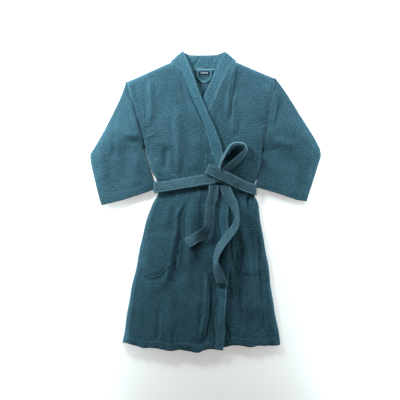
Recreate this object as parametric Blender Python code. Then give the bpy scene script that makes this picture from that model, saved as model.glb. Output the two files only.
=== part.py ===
"""Kimono bathrobe, lying flat on its back with its belt tied in a half bow.

Metres, +Z up. The robe rests on z = 0 with its neck towards +Y. +X is the wearer's left, so "right"
and "left" in the names are the wearer's. The origin is the middle of the robe's box, on the floor.
"""
import math

import bmesh
import bpy
from mathutils import Vector

# Cloth thicknesses and clearances.
CLOTH = 0.0025            # one layer of waffle cotton
BAND = 0.0045             # the collar band, folded double
STRAP = 0.003             # the belt, folded double
TAPE = 0.0012             # neck tape and label
GAP = 0.0003              # between pieces that touch
WALL = 0.003              # the turned side of a panel or sleeve
POCKET_CLOTH = 0.0018
SEAM_INSET = 0.0002       # a turned side stands this far inside its panel's edge

# Heights of the undersides of the layers.
LEFT_FRONT_Z = 0.012
RIGHT_FRONT_Z = 0.0175
LEFT_BAND_Z = 0.011
RIGHT_BAND_Z = 0.0165
BACK_COLLAR_Z = CLOTH + GAP
COLLAR_TAB_GAP = 0.001
SLEEVE_HEIGHT = 0.020
SLEEVE_AXIS_Z = 0.0215
BELT_Z = RIGHT_BAND_Z + BAND + GAP
POCKET_ROOM = 0.0046      # free height inside a patch pocket

# Widths along the sewn edges.
BAND_WIDTH = 0.042
LEFT_BAND_WIDTH = 0.045
BELT_WIDTH = 0.042
CURVE_STEPS = 3
LOOP_STEPS = 12

# Body seams, (x, y).
SHOULDER_RIGHT = (-0.299, 0.453)
SHOULDER_LEFT = (0.264, 0.466)
ARMPIT_RIGHT = (-0.230, 0.204)
ARMPIT_LEFT = (0.217, 0.190)
NECK_RIGHT = (-0.134, 0.526)
NECK_LEFT = (0.120, 0.527)
BACK_NECK = ((0.044, 0.5045), (-0.061, 0.5045))
SIDE_RIGHT = (ARMPIT_RIGHT, (-0.203, 0.130), (-0.180, 0.076), (-0.180, 0.030), (-0.203, -0.012),
              (-0.2375, -0.131), (-0.264, -0.252), (-0.287, -0.375), (-0.316, -0.536))
SIDE_LEFT = (ARMPIT_LEFT, (0.203, 0.130), (0.183, 0.076), (0.183, 0.024), (0.199, -0.012),
             (0.2185, -0.131), (0.2375, -0.252), (0.2565, -0.375), (0.283, -0.541))
HEM_BACK = ((-0.160, -0.560), (0.120, -0.552))

# Free edges of the two fronts, from the shoulder down to the hem.
RIGHT_PEAK = (-0.083, 0.569)
RIGHT_BAND_TOP = (-0.130, 0.529)
RIGHT_EDGE = ((-0.080, 0.564), (-0.056, 0.506), (-0.012, 0.387), (0.046, 0.255), (0.068, 0.170),
              (0.084, 0.030), (0.089, -0.150), (0.086, -0.290), (0.078, -0.400), (0.067, -0.560))
LEFT_PEAK = (0.074, 0.567)
LEFT_BAND_TOP = (0.114, 0.530)
LEFT_EDGE = ((0.056, 0.554), (0.040, 0.504), (-0.012, 0.387), (-0.055, 0.290), (-0.088, 0.200),
             (-0.105, 0.080), (-0.112, -0.100), (-0.114, -0.550))
HEM_RIGHT_FRONT = ((-0.023, -0.569), (-0.110, -0.564), (-0.201, -0.557))
HEM_LEFT_FRONT = ((0.100, -0.545), (0.2175, -0.550))

# Sleeves: the fold over the arm, then the cuff, then the fold under the arm.
SLEEVE_RIGHT_FOLD = ((-0.3015, 0.4525), (-0.325, 0.387), (-0.386, 0.265), (-0.425, 0.198),
                     (-0.437, 0.172), (-0.427, 0.113), (-0.401, 0.007))
SLEEVE_RIGHT_CUFF = ((-0.394, -0.013), (-0.313, 0.0065), (-0.222, 0.037))
SLEEVE_RIGHT_UNDER = ((-0.1925, 0.0495), (-0.2325, 0.2035))
SLEEVE_LEFT_FOLD = ((0.2665, 0.4655), (0.302, 0.417), (0.359, 0.326), (0.416, 0.235),
                    (0.437, 0.184), (0.4275, 0.143), (0.389, 0.022))
SLEEVE_LEFT_CUFF = ((0.383, 0.001), (0.348, 0.0066), (0.264, 0.037))
SLEEVE_LEFT_UNDER = ((0.209, 0.055), (0.2195, 0.1895))
CUTTER_OVERRUN = 0.04     # how far a cutter runs past the piece it cuts
CUTTER_REACH = 0.25       # half the length of the belt channel's cutters

# Patch pockets: the sewn edge, from one end of the mouth round to the other.
POCKET_RIGHT = ((-0.226, -0.114), (-0.241, -0.190), (-0.247, -0.252), (-0.218, -0.286), (-0.180, -0.283),
                (-0.142, -0.251), (-0.121, -0.210), (-0.107, -0.150), (-0.097, -0.114))
POCKET_LEFT = ((0.100, -0.102), (0.103, -0.200), (0.118, -0.250), (0.160, -0.275), (0.208, -0.268),
               (0.222, -0.235), (0.213, -0.160), (0.204, -0.102))

# Neck tape, label and hanging loop.
TAPE_Y = (0.4985, 0.5065)
TAPE_X = (-0.060, 0.042)
LABEL_X = (-0.026, 0.016)
LABEL_Y = (0.478, 0.4955)
HANGER_CENTRE_X = -0.005
HANGER_RADIUS = 0.028     # to the outside of the tape
HANGER_TAPE = 0.006
HANGER_TOP_Y = 0.498
HANGER_TURN_Y = 0.480     # where the straight arms end
HANGER_THICKNESS = 0.002
HANGER_AXIS_Z = 0.0085

# The back of the collar.
BACK_COLLAR = ((-0.066, 0.507), (0.046, 0.507), (0.063, 0.556), (-0.078, 0.556))
COLLAR_TABS = {"collar_tab_right": ((-0.090, 0.536), (-0.070, 0.530), (-0.076, 0.554), (-0.084, 0.556),
                                    RIGHT_BAND_Z),
               "collar_tab_left": ((0.056, 0.530), (0.074, 0.530), (0.072, 0.556), (0.062, 0.554),
                                   LEFT_BAND_Z)}

# Belt: where it crosses the sides, and the knot's place.
BELT_BACK_Y = (0.055, 0.046)        # its centre line at the right and the left side
BELT_SIDE_X = (-0.182, 0.185)       # middle of the strap where it turns up at the sides
CHANNEL_Y = (0.019, 0.082)          # the back panel rides over the belt between these
CHANNEL_TOP = STRAP + GAP
BELT_FRONT_Z = BELT_Z + STRAP / 2
LEFT_RUN_LOW_Z = LEFT_FRONT_Z + CLOTH + GAP + STRAP / 2
KNOT_TOP_Z = 0.0362
KNOT = ((0.018, 0.060), (0.054, 0.060), (0.073, 0.068), (0.074, 0.090), (0.060, 0.116), (0.038, 0.125),
        (0.024, 0.112), (0.017, 0.090))
TAIL_AXIS_Z = BELT_Z + STRAP + 0.0005
SHORT_TAIL_PIVOT = (0.030, 0.0560, TAIL_AXIS_Z)
LONG_TAIL_PIVOT = (0.077, 0.0560, TAIL_AXIS_Z)
BOW_PIVOT = (0.064, 0.128, 0.036)

# Strap routes: (x, y), lean from flat to on edge in degrees, and width.
SHORT_TAIL = ((0.030, 0.054, 0, 0.041), (0.0295, 0.032, 2, 0.041), (0.024, 0.010, 12, 0.042),
              (0.017, -0.014, 30, 0.042), (0.014, -0.060, 50, 0.042), (0.008, -0.094, 55, 0.042),
              (-0.010, -0.121, 40, 0.042), (-0.034, -0.137, 18, 0.044), (-0.060, -0.152, 6, 0.046))
LONG_TAIL = ((0.077, 0.054, 0, 0.042), (0.0785, 0.032, 2, 0.042), (0.0935, 0.010, 12, 0.042),
             (0.108, -0.013, 30, 0.042), (0.123, -0.050, 64, 0.042), (0.108, -0.096, 40, 0.042),
             (0.075, -0.136, 15, 0.042), (0.048, -0.176, 48, 0.042), (0.038, -0.222, 66, 0.042),
             (0.045, -0.262, 45, 0.042), (0.060, -0.304, 20, 0.040))
BOW = ((0.070, 0.121, 0.014), (0.090, 0.128, 0.026), (0.118, 0.146, 0.038), (0.146, 0.172, 0.040),
       (0.159, 0.199, 0.040), (0.146, 0.218, 0.040), (0.118, 0.222, 0.040), (0.092, 0.202, 0.038),
       (0.072, 0.170, 0.026), (0.062, 0.142, 0.014))
OVER_STRAP = ((0.010, 0.0262), (0.015, 0.0374), (0.030, 0.0398), (0.066, 0.0398), (0.100, 0.0340),
              (0.140, 0.0230), (0.166, LEFT_RUN_LOW_Z + 0.001), (0.185, LEFT_RUN_LOW_Z))
OVER_STRAP_X = (0.020, 0.180)       # it slopes between these
OVER_STRAP_Y = (0.1225, 0.046)      # its centre line at the knot and at the left side
RIGHT_RUN_X = (-0.170, 0.012)       # the right run slopes between these, up to the knot
RIGHT_RUN_Y = (0.055, 0.0855)
BELT_LOOP_Z = (0.0065, 0.0145)
KNOT_STEPS = 2

# Colours.
TEAL = (0.055, 0.155, 0.205)
BELT_TEAL = (0.085, 0.180, 0.225)
TAPE_TEAL = (0.140, 0.290, 0.360)
NAVY = (0.012, 0.020, 0.050)


def make_material(name, colour, roughness):
    material = bpy.data.materials.new(name)
    material.use_nodes = True
    shader = material.node_tree.nodes["Principled BSDF"]
    shader.inputs["Base Color"].default_value = (*colour, 1.0)
    shader.inputs["Roughness"].default_value = roughness
    shader.inputs["Metallic"].default_value = 0.0
    return material


def smooth_line(points, steps=CURVE_STEPS):
    """Points along a Catmull-Rom curve through the given points."""
    points = [Vector(p) for p in points]
    line = []
    for i in range(len(points) - 1):
        before = points[max(i - 1, 0)]
        start, end = points[i], points[i + 1]
        after = points[min(i + 2, len(points) - 1)]
        for k in range(steps):
            t = k / steps
            line.append(0.5 * (2 * start + (end - before) * t
                               + (2 * before - 5 * start + 4 * end - after) * t ** 2
                               + (3 * start - before - 3 * end + after) * t ** 3))
    line.append(points[-1])
    return line


def offset_line(points, distance):
    """The same line moved sideways, to the left of its direction of travel."""
    points = [Vector(p[:2]) for p in points]
    moved = []
    for i, point in enumerate(points):
        along = (points[min(i + 1, len(points) - 1)] - points[max(i - 1, 0)]).normalized()
        moved.append(point + Vector((-along.y, along.x)) * distance)
    return moved


def make_object(name, bm, material=None):
    bmesh.ops.recalc_face_normals(bm, faces=bm.faces)
    mesh = bpy.data.meshes.new(name)
    bm.to_mesh(mesh)
    bm.free()
    item = bpy.data.objects.new(name, mesh)
    bpy.context.scene.collection.objects.link(item)
    if material:
        mesh.materials.append(material)
    return item


def rings_mesh(rings):
    """A solid through a row of point rings, capped at both ends."""
    bm = bmesh.new()
    rows = [[bm.verts.new(p) for p in ring] for ring in rings]
    for near, far in zip(rows, rows[1:]):
        for i in range(len(near)):
            j = (i + 1) % len(near)
            bm.faces.new((near[i], near[j], far[j], far[i]))
    bm.faces.new(rows[0])
    bm.faces.new(rows[-1])
    return bm


def prism(name, outline, low, high, material=None):
    """An outline on the floor plane, raised from one height to another."""
    rings = [[(p[0], p[1], z) for p in outline] for z in (low, high)]
    return make_object(name, rings_mesh(rings), material)


def rectangle(x_range, y_range):
    (left, right), (near, far) = x_range, y_range
    return [(left, near), (right, near), (right, far), (left, far)]


def join_shape(target, operand, operation):
    """Adds or cuts one solid with a Boolean, and hides the operand."""
    modifier = target.modifiers.new(operand.name, "BOOLEAN")
    modifier.object = operand
    modifier.operation = operation
    modifier.solver = "EXACT"
    operand.hide_render = True
    operand.display_type = "WIRE"


def set_pivot(item, pivot):
    """Moves the object's origin to a point on its joint's axis."""
    for vertex in item.data.vertices:
        vertex.co -= Vector(pivot)
    item.location = pivot


def turned_side(name, line, low, high):
    """The cloth that turns down along a seam, as a thin wall inside the line."""
    outer = offset_line(line, SEAM_INSET)
    inner = offset_line(line, SEAM_INSET + WALL)
    return prism(name, list(outer) + list(reversed(inner)), low, high)


def clear_belt_channel(panel, name):
    """Cuts a front panel's turned side away where the back panel rides over the belt."""
    low, high = CHANNEL_Y
    margin = CLOTH + 2 * GAP
    box = rectangle((-CUTTER_REACH, CUTTER_REACH), (low - margin, high + margin))
    cutter = prism(name, box, -CLOTH, CHANNEL_TOP + CLOTH + GAP)
    join_shape(panel, cutter, "DIFFERENCE")


def back_panel(material):
    sides = smooth_line(SIDE_RIGHT), smooth_line(SIDE_LEFT)
    outline = [NECK_RIGHT, SHOULDER_RIGHT, *sides[0], *HEM_BACK, *reversed(sides[1]),
               SHOULDER_LEFT, NECK_LEFT, *BACK_NECK]
    panel = prism("back_panel", outline, 0.0, CLOTH, material)
    low, high = CHANNEL_Y
    right, left = SIDE_RIGHT[2][0], SIDE_LEFT[2][0]
    ride = rectangle((right, left), (low - CLOTH, high + CLOTH))
    join_shape(panel, prism("belt_hump", ride, SEAM_INSET, CHANNEL_TOP + CLOTH), "UNION")
    channel = rectangle((-CUTTER_REACH, CUTTER_REACH), CHANNEL_Y)
    join_shape(panel, prism("belt_channel", channel, -CLOTH, CHANNEL_TOP), "DIFFERENCE")
    return panel


def front_panel(name, plate, height, walls, material):
    """One front: its cloth as a plate, with the side and shoulder turned down to the back."""
    panel = prism(name, plate, height, height + CLOTH, material)
    for index, wall in enumerate(walls):
        side = turned_side(f"{name}_side_{index}", wall, CLOTH + GAP, height + CLOTH / 2)
        join_shape(panel, side, "UNION")
    clear_belt_channel(panel, f"{name}_channel")
    return panel


def right_front(material):
    side = smooth_line(SIDE_RIGHT)
    seam = offset_line(smooth_line(RIGHT_EDGE), -(BAND_WIDTH + GAP))
    plate = [RIGHT_BAND_TOP, SHOULDER_RIGHT, *side, *reversed(HEM_RIGHT_FRONT), *reversed(seam[CURVE_STEPS:])]
    shoulder = [RIGHT_BAND_TOP, SHOULDER_RIGHT]
    return front_panel("right_front_panel", plate, RIGHT_FRONT_Z, (shoulder, side), material)


def left_front(material):
    side = smooth_line(SIDE_LEFT)
    seam = offset_line(smooth_line(LEFT_EDGE), LEFT_BAND_WIDTH + GAP)
    plate = [*seam[CURVE_STEPS:], *HEM_LEFT_FRONT, *reversed(side), SHOULDER_LEFT, LEFT_BAND_TOP]
    walls = (list(reversed(side)), [SHOULDER_LEFT, LEFT_BAND_TOP])
    return front_panel("left_front_panel", plate, LEFT_FRONT_Z, walls, material)


def collar_band(name, edge, width, peak, top, low, material):
    """A front's collar band, from its fold at the shoulder down to the hem."""
    line = smooth_line(edge)
    seam = offset_line(line, width)
    outline = [peak, *line[1:], *reversed(seam[CURVE_STEPS:]), top]
    return prism(name, outline, low, low + BAND, material)


def back_collar(material):
    collar = prism("back_neck_collar", BACK_COLLAR, BACK_COLLAR_Z, BACK_COLLAR_Z + BAND, material)
    for name, tab in COLLAR_TABS.items():
        *outline, band_low = tab
        post = prism(name, outline, BACK_COLLAR_Z + BAND / 2, band_low - COLLAR_TAB_GAP)
        join_shape(collar, post, "UNION")
    return collar


def sleeve(name, fold, cuff, under, inward, material):
    """A sleeve as a flattened tube, open at the cuff and at the armhole."""
    line = smooth_line(fold)
    outline = [*line, *cuff, *under]
    tube = prism(name, outline, 0.0, SLEEVE_HEIGHT, material)
    outer = offset_line(line, inward * WALL)
    inner = offset_line(under, inward * WALL)
    outer[0] += (outer[0] - outer[1]).normalized() * CUTTER_OVERRUN
    outer[-1] += (outer[-1] - outer[-2]).normalized() * CUTTER_OVERRUN
    inner[0] += (inner[0] - inner[1]).normalized() * CUTTER_OVERRUN
    armhole_side = Vector((inward * CUTTER_OVERRUN, 0.0))
    tunnel_line = [*outer, *inner, inner[-1] + armhole_side, outer[0] + armhole_side]
    tunnel = prism(f"{name}_tunnel", tunnel_line, CLOTH, SLEEVE_HEIGHT - CLOTH)
    join_shape(tube, tunnel, "DIFFERENCE")
    return tube


def pocket(name, sewn_edge, panel_top, material):
    """A patch pocket, sewn round its sides and foot and open at its mouth."""
    line = smooth_line(sewn_edge)
    low = panel_top + GAP
    plate_low = panel_top + POCKET_ROOM
    patch = prism(name, line, plate_low, plate_low + POCKET_CLOTH, material)
    border = turned_side(f"{name}_border", line, low, plate_low + POCKET_CLOTH / 2)
    join_shape(patch, border, "UNION")
    return patch


def hanging_loop(material):
    """A U of tape: two arms from the neck seam and a half-round turn."""
    outline = []
    for radius, order in ((HANGER_RADIUS, 1), (HANGER_RADIUS - HANGER_TAPE, -1)):
        turn = [(-radius, HANGER_TOP_Y - HANGER_TURN_Y)]
        for k in range(LOOP_STEPS + 1):
            angle = math.pi + math.pi * k / LOOP_STEPS
            turn.append((radius * math.cos(angle), radius * math.sin(angle)))
        turn.append((radius, HANGER_TOP_Y - HANGER_TURN_Y))
        outline += [(HANGER_CENTRE_X + x, HANGER_TURN_Y + y) for x, y in turn[::order]]
    low = CLOTH + GAP
    loop = prism("hanging_loop", outline, low, low + HANGER_THICKNESS, material)
    set_pivot(loop, (HANGER_CENTRE_X, HANGER_TOP_Y, HANGER_AXIS_Z))
    return loop


def belt_run(name, path, centre, material):
    """A stretch of belt that bends in the x-z plane; centre gives its middle's y at each x."""
    path = [Vector(p) for p in path]
    top, bottom = [], []
    for i, point in enumerate(path):
        before = (point - path[i - 1]).normalized() if i else (path[1] - point).normalized()
        after = (path[i + 1] - point).normalized() if i < len(path) - 1 else before
        along = (before + after).normalized()
        normal = Vector((-along.y, along.x)) * (STRAP / 2 / along.dot(before))
        top.append(point + normal)
        bottom.append(point - normal)
    profile = top + bottom[::-1]
    rings = []
    for side in (-0.5, 0.5):
        rings.append([(p.x, centre(p.x) + side * BELT_WIDTH, p.y) for p in profile])
    return make_object(name, rings_mesh(rings), material)


def between(x, start_x, end_x, start_y, end_y):
    """The straight line from one point to another, held level beyond both."""
    t = min(max((x - start_x) / (end_x - start_x), 0.0), 1.0)
    return start_y + (end_y - start_y) * t


def back_run_y(x):
    return between(x, *BELT_SIDE_X, *BELT_BACK_Y)


def right_run_y(x):
    return between(x, *RIGHT_RUN_X, *RIGHT_RUN_Y)


def left_run_y(x):
    return between(x, *OVER_STRAP_X, *OVER_STRAP_Y)


def belt_runs(material):
    turn_low = STRAP + GAP
    back = ((BELT_SIDE_X[0] - STRAP / 2, STRAP / 2), (BELT_SIDE_X[1] + STRAP / 2, STRAP / 2))
    right = ((BELT_SIDE_X[0], turn_low), (BELT_SIDE_X[0], BELT_FRONT_Z), (RIGHT_RUN_X[1], BELT_FRONT_Z))
    left = (*OVER_STRAP, (BELT_SIDE_X[1], turn_low))
    belt_run("belt_back_run", back, back_run_y, material)
    belt_run("belt_right_run", right, right_run_y, material)
    belt_run("belt_left_run", left, left_run_y, material)


def belt_loop(name, side_x, centre_y, outward, material):
    """A narrow loop on the side seam, standing round the belt's outer face."""
    face = side_x + outward * (STRAP / 2 + GAP)
    outer = face + outward * TAPE
    seam = side_x - outward * (STRAP / 2)
    half = BELT_WIDTH / 2 + 2 * GAP
    arm = TAPE
    outline = ((seam, centre_y - half - arm), (outer, centre_y - half - arm), (outer, centre_y + half + arm),
               (seam, centre_y + half + arm), (seam, centre_y + half), (face, centre_y + half),
               (face, centre_y - half), (seam, centre_y - half))
    return prism(name, outline, *BELT_LOOP_Z, material)


def strap_rings(stations, low):
    """Cross-sections of a flat strap, each leaning by its own angle and resting on one height."""
    rings = []
    for i, (x, y, lean, width) in enumerate(stations):
        near, far = stations[max(i - 1, 0)], stations[min(i + 1, len(stations) - 1)]
        along = Vector((far[0] - near[0], far[1] - near[1], 0.0)).normalized()
        side = Vector((along.y, -along.x, 0.0))
        angle = math.radians(max(lean, 0.0))
        across = side * math.cos(angle) + Vector((0, 0, 1)) * math.sin(angle)
        normal = across.cross(along).normalized()
        height = low + width / 2 * math.sin(angle) + STRAP / 2 * math.cos(angle)
        centre = Vector((x, y, height))
        rings.append([centre + across * (s * width / 2) + normal * (t * STRAP / 2)
                      for s, t in ((-1, -1), (1, -1), (1, 1), (-1, 1))])
    return rings


def tail(name, stations, pivot, material):
    smooth = smooth_line(stations)
    item = make_object(name, rings_mesh(strap_rings(smooth, BELT_Z)), material)
    set_pivot(item, pivot)
    return item


def bow_loop(material):
    """The bow's one loop: the strap on edge, out from the knot and back again."""
    line = smooth_line(BOW)
    stations = [(x, y, 90.0, width) for x, y, width in line]
    item = make_object("bow_loop", rings_mesh(strap_rings(stations, BELT_Z)), material)
    set_pivot(item, BOW_PIVOT)
    return item


def build():
    for item in list(bpy.data.objects):
        bpy.data.objects.remove(item)
    cloth = make_material("robe_cloth", TEAL, 0.92)
    collar_cloth = make_material("collar_cloth", TEAL, 0.9)
    belt_cloth = make_material("belt_cloth", BELT_TEAL, 0.9)
    tape_cloth = make_material("loop_tape", TAPE_TEAL, 0.8)
    label_cloth = make_material("label_satin", NAVY, 0.55)

    back_panel(cloth)
    right_front(cloth)
    left_front(cloth)
    collar_band("right_front_band", RIGHT_EDGE, -BAND_WIDTH, RIGHT_PEAK, RIGHT_BAND_TOP, RIGHT_BAND_Z,
                collar_cloth)
    collar_band("left_front_band", LEFT_EDGE, LEFT_BAND_WIDTH, LEFT_PEAK, LEFT_BAND_TOP, LEFT_BAND_Z,
                collar_cloth)
    back_collar(collar_cloth)

    right = sleeve("right_sleeve", SLEEVE_RIGHT_FOLD, SLEEVE_RIGHT_CUFF, SLEEVE_RIGHT_UNDER, 1, cloth)
    left = sleeve("left_sleeve", SLEEVE_LEFT_FOLD, SLEEVE_LEFT_CUFF, SLEEVE_LEFT_UNDER, -1, cloth)
    set_pivot(right, (*ARMPIT_RIGHT, SLEEVE_AXIS_Z))
    set_pivot(left, (*ARMPIT_LEFT, SLEEVE_AXIS_Z))

    pocket("right_pocket", POCKET_RIGHT, RIGHT_FRONT_Z + CLOTH, cloth)
    pocket("left_pocket", POCKET_LEFT, LEFT_FRONT_Z + CLOTH, cloth)
    low = CLOTH + GAP
    prism("back_neck_tape", rectangle(TAPE_X, TAPE_Y), low, low + TAPE, tape_cloth)
    prism("neck_label", rectangle(LABEL_X, LABEL_Y), low, low + TAPE, label_cloth)
    hanging_loop(tape_cloth)

    belt_runs(belt_cloth)
    belt_loop("right_belt_loop", BELT_SIDE_X[0], BELT_BACK_Y[0], -1, cloth)
    belt_loop("left_belt_loop", BELT_SIDE_X[1], BELT_BACK_Y[1], 1, cloth)
    prism("belt_knot", smooth_line((*KNOT, KNOT[0]), KNOT_STEPS)[:-1], BELT_Z, KNOT_TOP_Z, belt_cloth)
    tail("short_tail", SHORT_TAIL, SHORT_TAIL_PIVOT, belt_cloth)
    tail("long_tail", LONG_TAIL, LONG_TAIL_PIVOT, belt_cloth)
    bow_loop(belt_cloth)


build()
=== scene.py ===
"""Kimono bathrobe laid flat with its belt tied in a half bow: cloth, stitching, light and camera.

Metres, in the CAD frame. The robe lies on z = 0 with its neck towards +Y. +X is the wearer's left,
so "right" and "left" in the names are the wearer's.
"""
import math

import bmesh
import bpy
import numpy as np
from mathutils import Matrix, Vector
from mathutils.bvhtree import BVHTree


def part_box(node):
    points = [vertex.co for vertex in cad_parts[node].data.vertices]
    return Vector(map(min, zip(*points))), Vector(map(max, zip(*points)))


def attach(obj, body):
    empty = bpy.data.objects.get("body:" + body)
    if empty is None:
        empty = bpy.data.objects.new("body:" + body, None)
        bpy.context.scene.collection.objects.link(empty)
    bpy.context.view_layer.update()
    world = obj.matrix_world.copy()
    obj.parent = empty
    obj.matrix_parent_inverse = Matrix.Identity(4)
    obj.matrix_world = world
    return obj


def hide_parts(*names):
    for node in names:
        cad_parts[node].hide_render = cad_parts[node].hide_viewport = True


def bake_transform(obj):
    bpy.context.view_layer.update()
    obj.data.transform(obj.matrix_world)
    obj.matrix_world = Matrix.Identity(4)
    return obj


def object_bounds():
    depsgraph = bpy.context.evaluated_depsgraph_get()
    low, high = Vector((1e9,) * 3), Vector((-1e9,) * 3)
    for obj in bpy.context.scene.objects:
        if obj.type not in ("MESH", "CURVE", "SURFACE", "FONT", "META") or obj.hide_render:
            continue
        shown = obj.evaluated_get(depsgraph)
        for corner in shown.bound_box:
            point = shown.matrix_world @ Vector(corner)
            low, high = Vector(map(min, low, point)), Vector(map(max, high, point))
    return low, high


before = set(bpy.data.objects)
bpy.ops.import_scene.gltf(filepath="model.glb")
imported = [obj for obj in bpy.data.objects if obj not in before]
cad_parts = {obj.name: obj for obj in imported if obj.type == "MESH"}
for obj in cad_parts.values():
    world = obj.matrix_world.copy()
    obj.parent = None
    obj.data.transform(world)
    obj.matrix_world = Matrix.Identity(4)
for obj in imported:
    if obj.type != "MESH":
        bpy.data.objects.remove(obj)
cad_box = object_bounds()

# Thicknesses of one cloth panel, of the folded collar band and of the folded belt.
CLOTH, BAND, STRAP = 0.0024, 0.0046, 0.0032
BELT_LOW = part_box("belt_knot")[0].z
UP = np.array((0.0, 0.0, 1.0))


def top_of(node):
    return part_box(node)[1].z


# ---------------------------------------------------------------- lines and fields

def lengths(line, dims=3):
    """How far along its line each point is."""
    steps = np.linalg.norm(np.diff(line[:, :dims], axis=0), axis=1)
    return np.concatenate([[0.0], np.cumsum(steps)])


def resample(line, count, dims=3):
    along = lengths(line, dims)
    at = np.linspace(0.0, along[-1], count)
    return np.stack([np.interp(at, along, column) for column in line.T], axis=1)


def curve(points, count, dims=3):
    """Evenly spaced points along a Catmull-Rom curve; extra columns are carried along."""
    p = np.array(points, float)
    p = np.vstack([2 * p[0] - p[1], p, 2 * p[-1] - p[-2]])
    t = np.linspace(0, 1, 12, endpoint=False)[:, None]
    line = [0.5 * (2 * b + (c - a) * t + (2 * a - 5 * b + 4 * c - d) * t ** 2
                   + (3 * b - a - 3 * c + d) * t ** 3)
            for a, b, c, d in zip(p, p[1:], p[2:], p[3:])]
    return resample(np.vstack(line + [p[-2:-1]]), count, dims)


def smoothstep(t):
    t = np.clip(t, 0.0, 1.0)
    return t * t * (3 - 2 * t)


def rounded(t):
    """Rises from 0 to 1 as a quarter of a circle."""
    t = np.clip(t, 0.0, 1.0)
    return np.sqrt(1 - (1 - t) ** 2)


def nearest(xy, line):
    """Distance from each point to a line, how far along the line that is, and on which side."""
    line = np.asarray(line, float)[:, :2]
    along = lengths(line, 2)
    best = np.full(len(xy), np.inf)
    at, side = np.zeros(len(xy)), np.ones(len(xy))
    for i in range(len(line) - 1):
        a, d = line[i], line[i + 1] - line[i]
        t = np.clip(((xy - a) @ d) / max(d @ d, 1e-15), 0, 1)
        off = xy - a - t[:, None] * d
        distance = np.hypot(off[:, 0], off[:, 1])
        closer = distance < best
        best = np.where(closer, distance, best)
        at = np.where(closer, along[i] + t * (along[i + 1] - along[i]), at)
        side = np.where(closer, np.sign(d[0] * off[:, 1] - d[1] * off[:, 0]), side)
    return best, at / along[-1], side


def ripple(xy, size, seed):
    """Soft unevenness of about unit height, with bumps of about the given size."""
    rng = np.random.default_rng(seed)
    total = np.zeros(len(xy))
    for _ in range(7):
        angle, phase = rng.uniform(0, math.pi), rng.uniform(0, 2 * math.pi)
        wave = math.pi / (size * rng.uniform(0.7, 1.6))
        total += np.sin(wave * (xy[:, 0] * math.cos(angle) + xy[:, 1] * math.sin(angle)) + phase)
    return total / 2.6


FOLD_GAIN = 2.25
FOLD_TAPER = 0.22


def folds(xy, rows):
    """Ridges and valleys: each row is a line, its height before FOLD_GAIN, its half width and its tilt.
    A tilt of 1 or -1 makes a step, high on one side of the line and low on the other."""
    height = np.zeros(len(xy))
    for line, rise, width, tilt in rows:
        rise = rise * FOLD_GAIN
        distance, t, side = nearest(xy, curve([(*p, 0) for p in line], 28))
        taper = smoothstep(t / FOLD_TAPER) * smoothstep((1 - t) / FOLD_TAPER)
        s = side * distance / width
        height += rise * taper * np.exp(-s * s) * ((1 - abs(tilt)) + 1.9 * tilt * s)
    return height


def outline(node):
    """The border of a node's level top faces, anticlockwise from above."""
    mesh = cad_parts[node].data
    height = top_of(node)
    steps = {}
    for face in mesh.polygons:
        if face.normal.z < 0.9 or abs(face.center.z - height) > 0.0003:
            continue
        corners = [tuple(round(c, 5) for c in mesh.vertices[i].co.xy) for i in face.vertices]
        for a, b in zip(corners, corners[1:] + corners[:1]):
            if a in steps.get(b, ()):
                steps[b].remove(a)
            else:
                steps.setdefault(a, []).append(b)
    steps = {a: ends for a, ends in steps.items() if ends}
    start = min(steps)
    loop = [start]
    while steps[loop[-1]]:
        step = steps[loop[-1]].pop()
        if step == start:
            break
        loop.append(step)
    return np.array(loop)


def stretch(loop, start, end):
    """The shorter way round an outline between the points nearest to two corners."""
    i, j = (int(np.argmin(np.hypot(*(loop - np.array(p)).T))) for p in (start, end))
    forward = np.roll(loop, -i, axis=0)[:(j - i) % len(loop) + 1]
    back = np.roll(loop[::-1], i + 1, axis=0)[:(i - j) % len(loop) + 1]
    return forward if lengths(forward, 2)[-1] < lengths(back, 2)[-1] else back


def patch(left, right, top, bottom, rows, columns):
    """A grid of points between four border lines; left and right run down, top and bottom across."""
    left, right = (resample(line, rows, 2)[:, None] for line in (left, right))
    top, bottom = (resample(line, columns, 2)[None] for line in (top, bottom))
    v = np.linspace(0, 1, rows)[:, None, None]
    u = np.linspace(0, 1, columns)[None, :, None]
    corners = ((1 - u) * (1 - v) * left[0, 0] + u * (1 - v) * right[0, 0]
               + (1 - u) * v * left[-1, 0] + u * v * right[-1, 0])
    return (1 - v) * top + v * bottom + (1 - u) * left + u * right - corners


def flat_cut(grid, ease=1.0):
    """Width, length and area of the flat cut that a grid of points was made from."""
    width = max(lengths(row, 2)[-1] for row in grid) * ease
    length = max(lengths(column, 2)[-1] for column in grid.transpose(1, 0, 2)) * ease
    a, b = grid[1:, 1:, :2] - grid[:-1, :-1, :2], grid[1:, :-1, :2] - grid[:-1, 1:, :2]
    area = abs(a[..., 0] * b[..., 1] - a[..., 1] * b[..., 0]).sum() / 2 * ease ** 2
    return (width, length), float(min(area, width * length))


# ---------------------------------------------------------------- meshes

def new_object(name, points, faces, uvs, material):
    """uvs has one pair for each corner of each face, in order."""
    mesh = bpy.data.meshes.new(name)
    mesh.from_pydata([tuple(p) for p in points], [], [tuple(int(i) for i in f) for f in faces])
    layer = mesh.uv_layers.new(name="weave")
    layer.data.foreach_set("uv", np.asarray(uvs, np.float32).ravel())
    mesh.polygons.foreach_set("use_smooth", [True] * len(mesh.polygons))
    mesh.materials.append(material)
    mesh.update()
    item = bpy.data.objects.new(name, mesh)
    bpy.context.scene.collection.objects.link(item)
    return item


def fix_normals(item):
    bm = bmesh.new()
    bm.from_mesh(item.data)
    bmesh.ops.recalc_face_normals(bm, faces=bm.faces)
    bm.to_mesh(item.data)
    bm.free()


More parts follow.
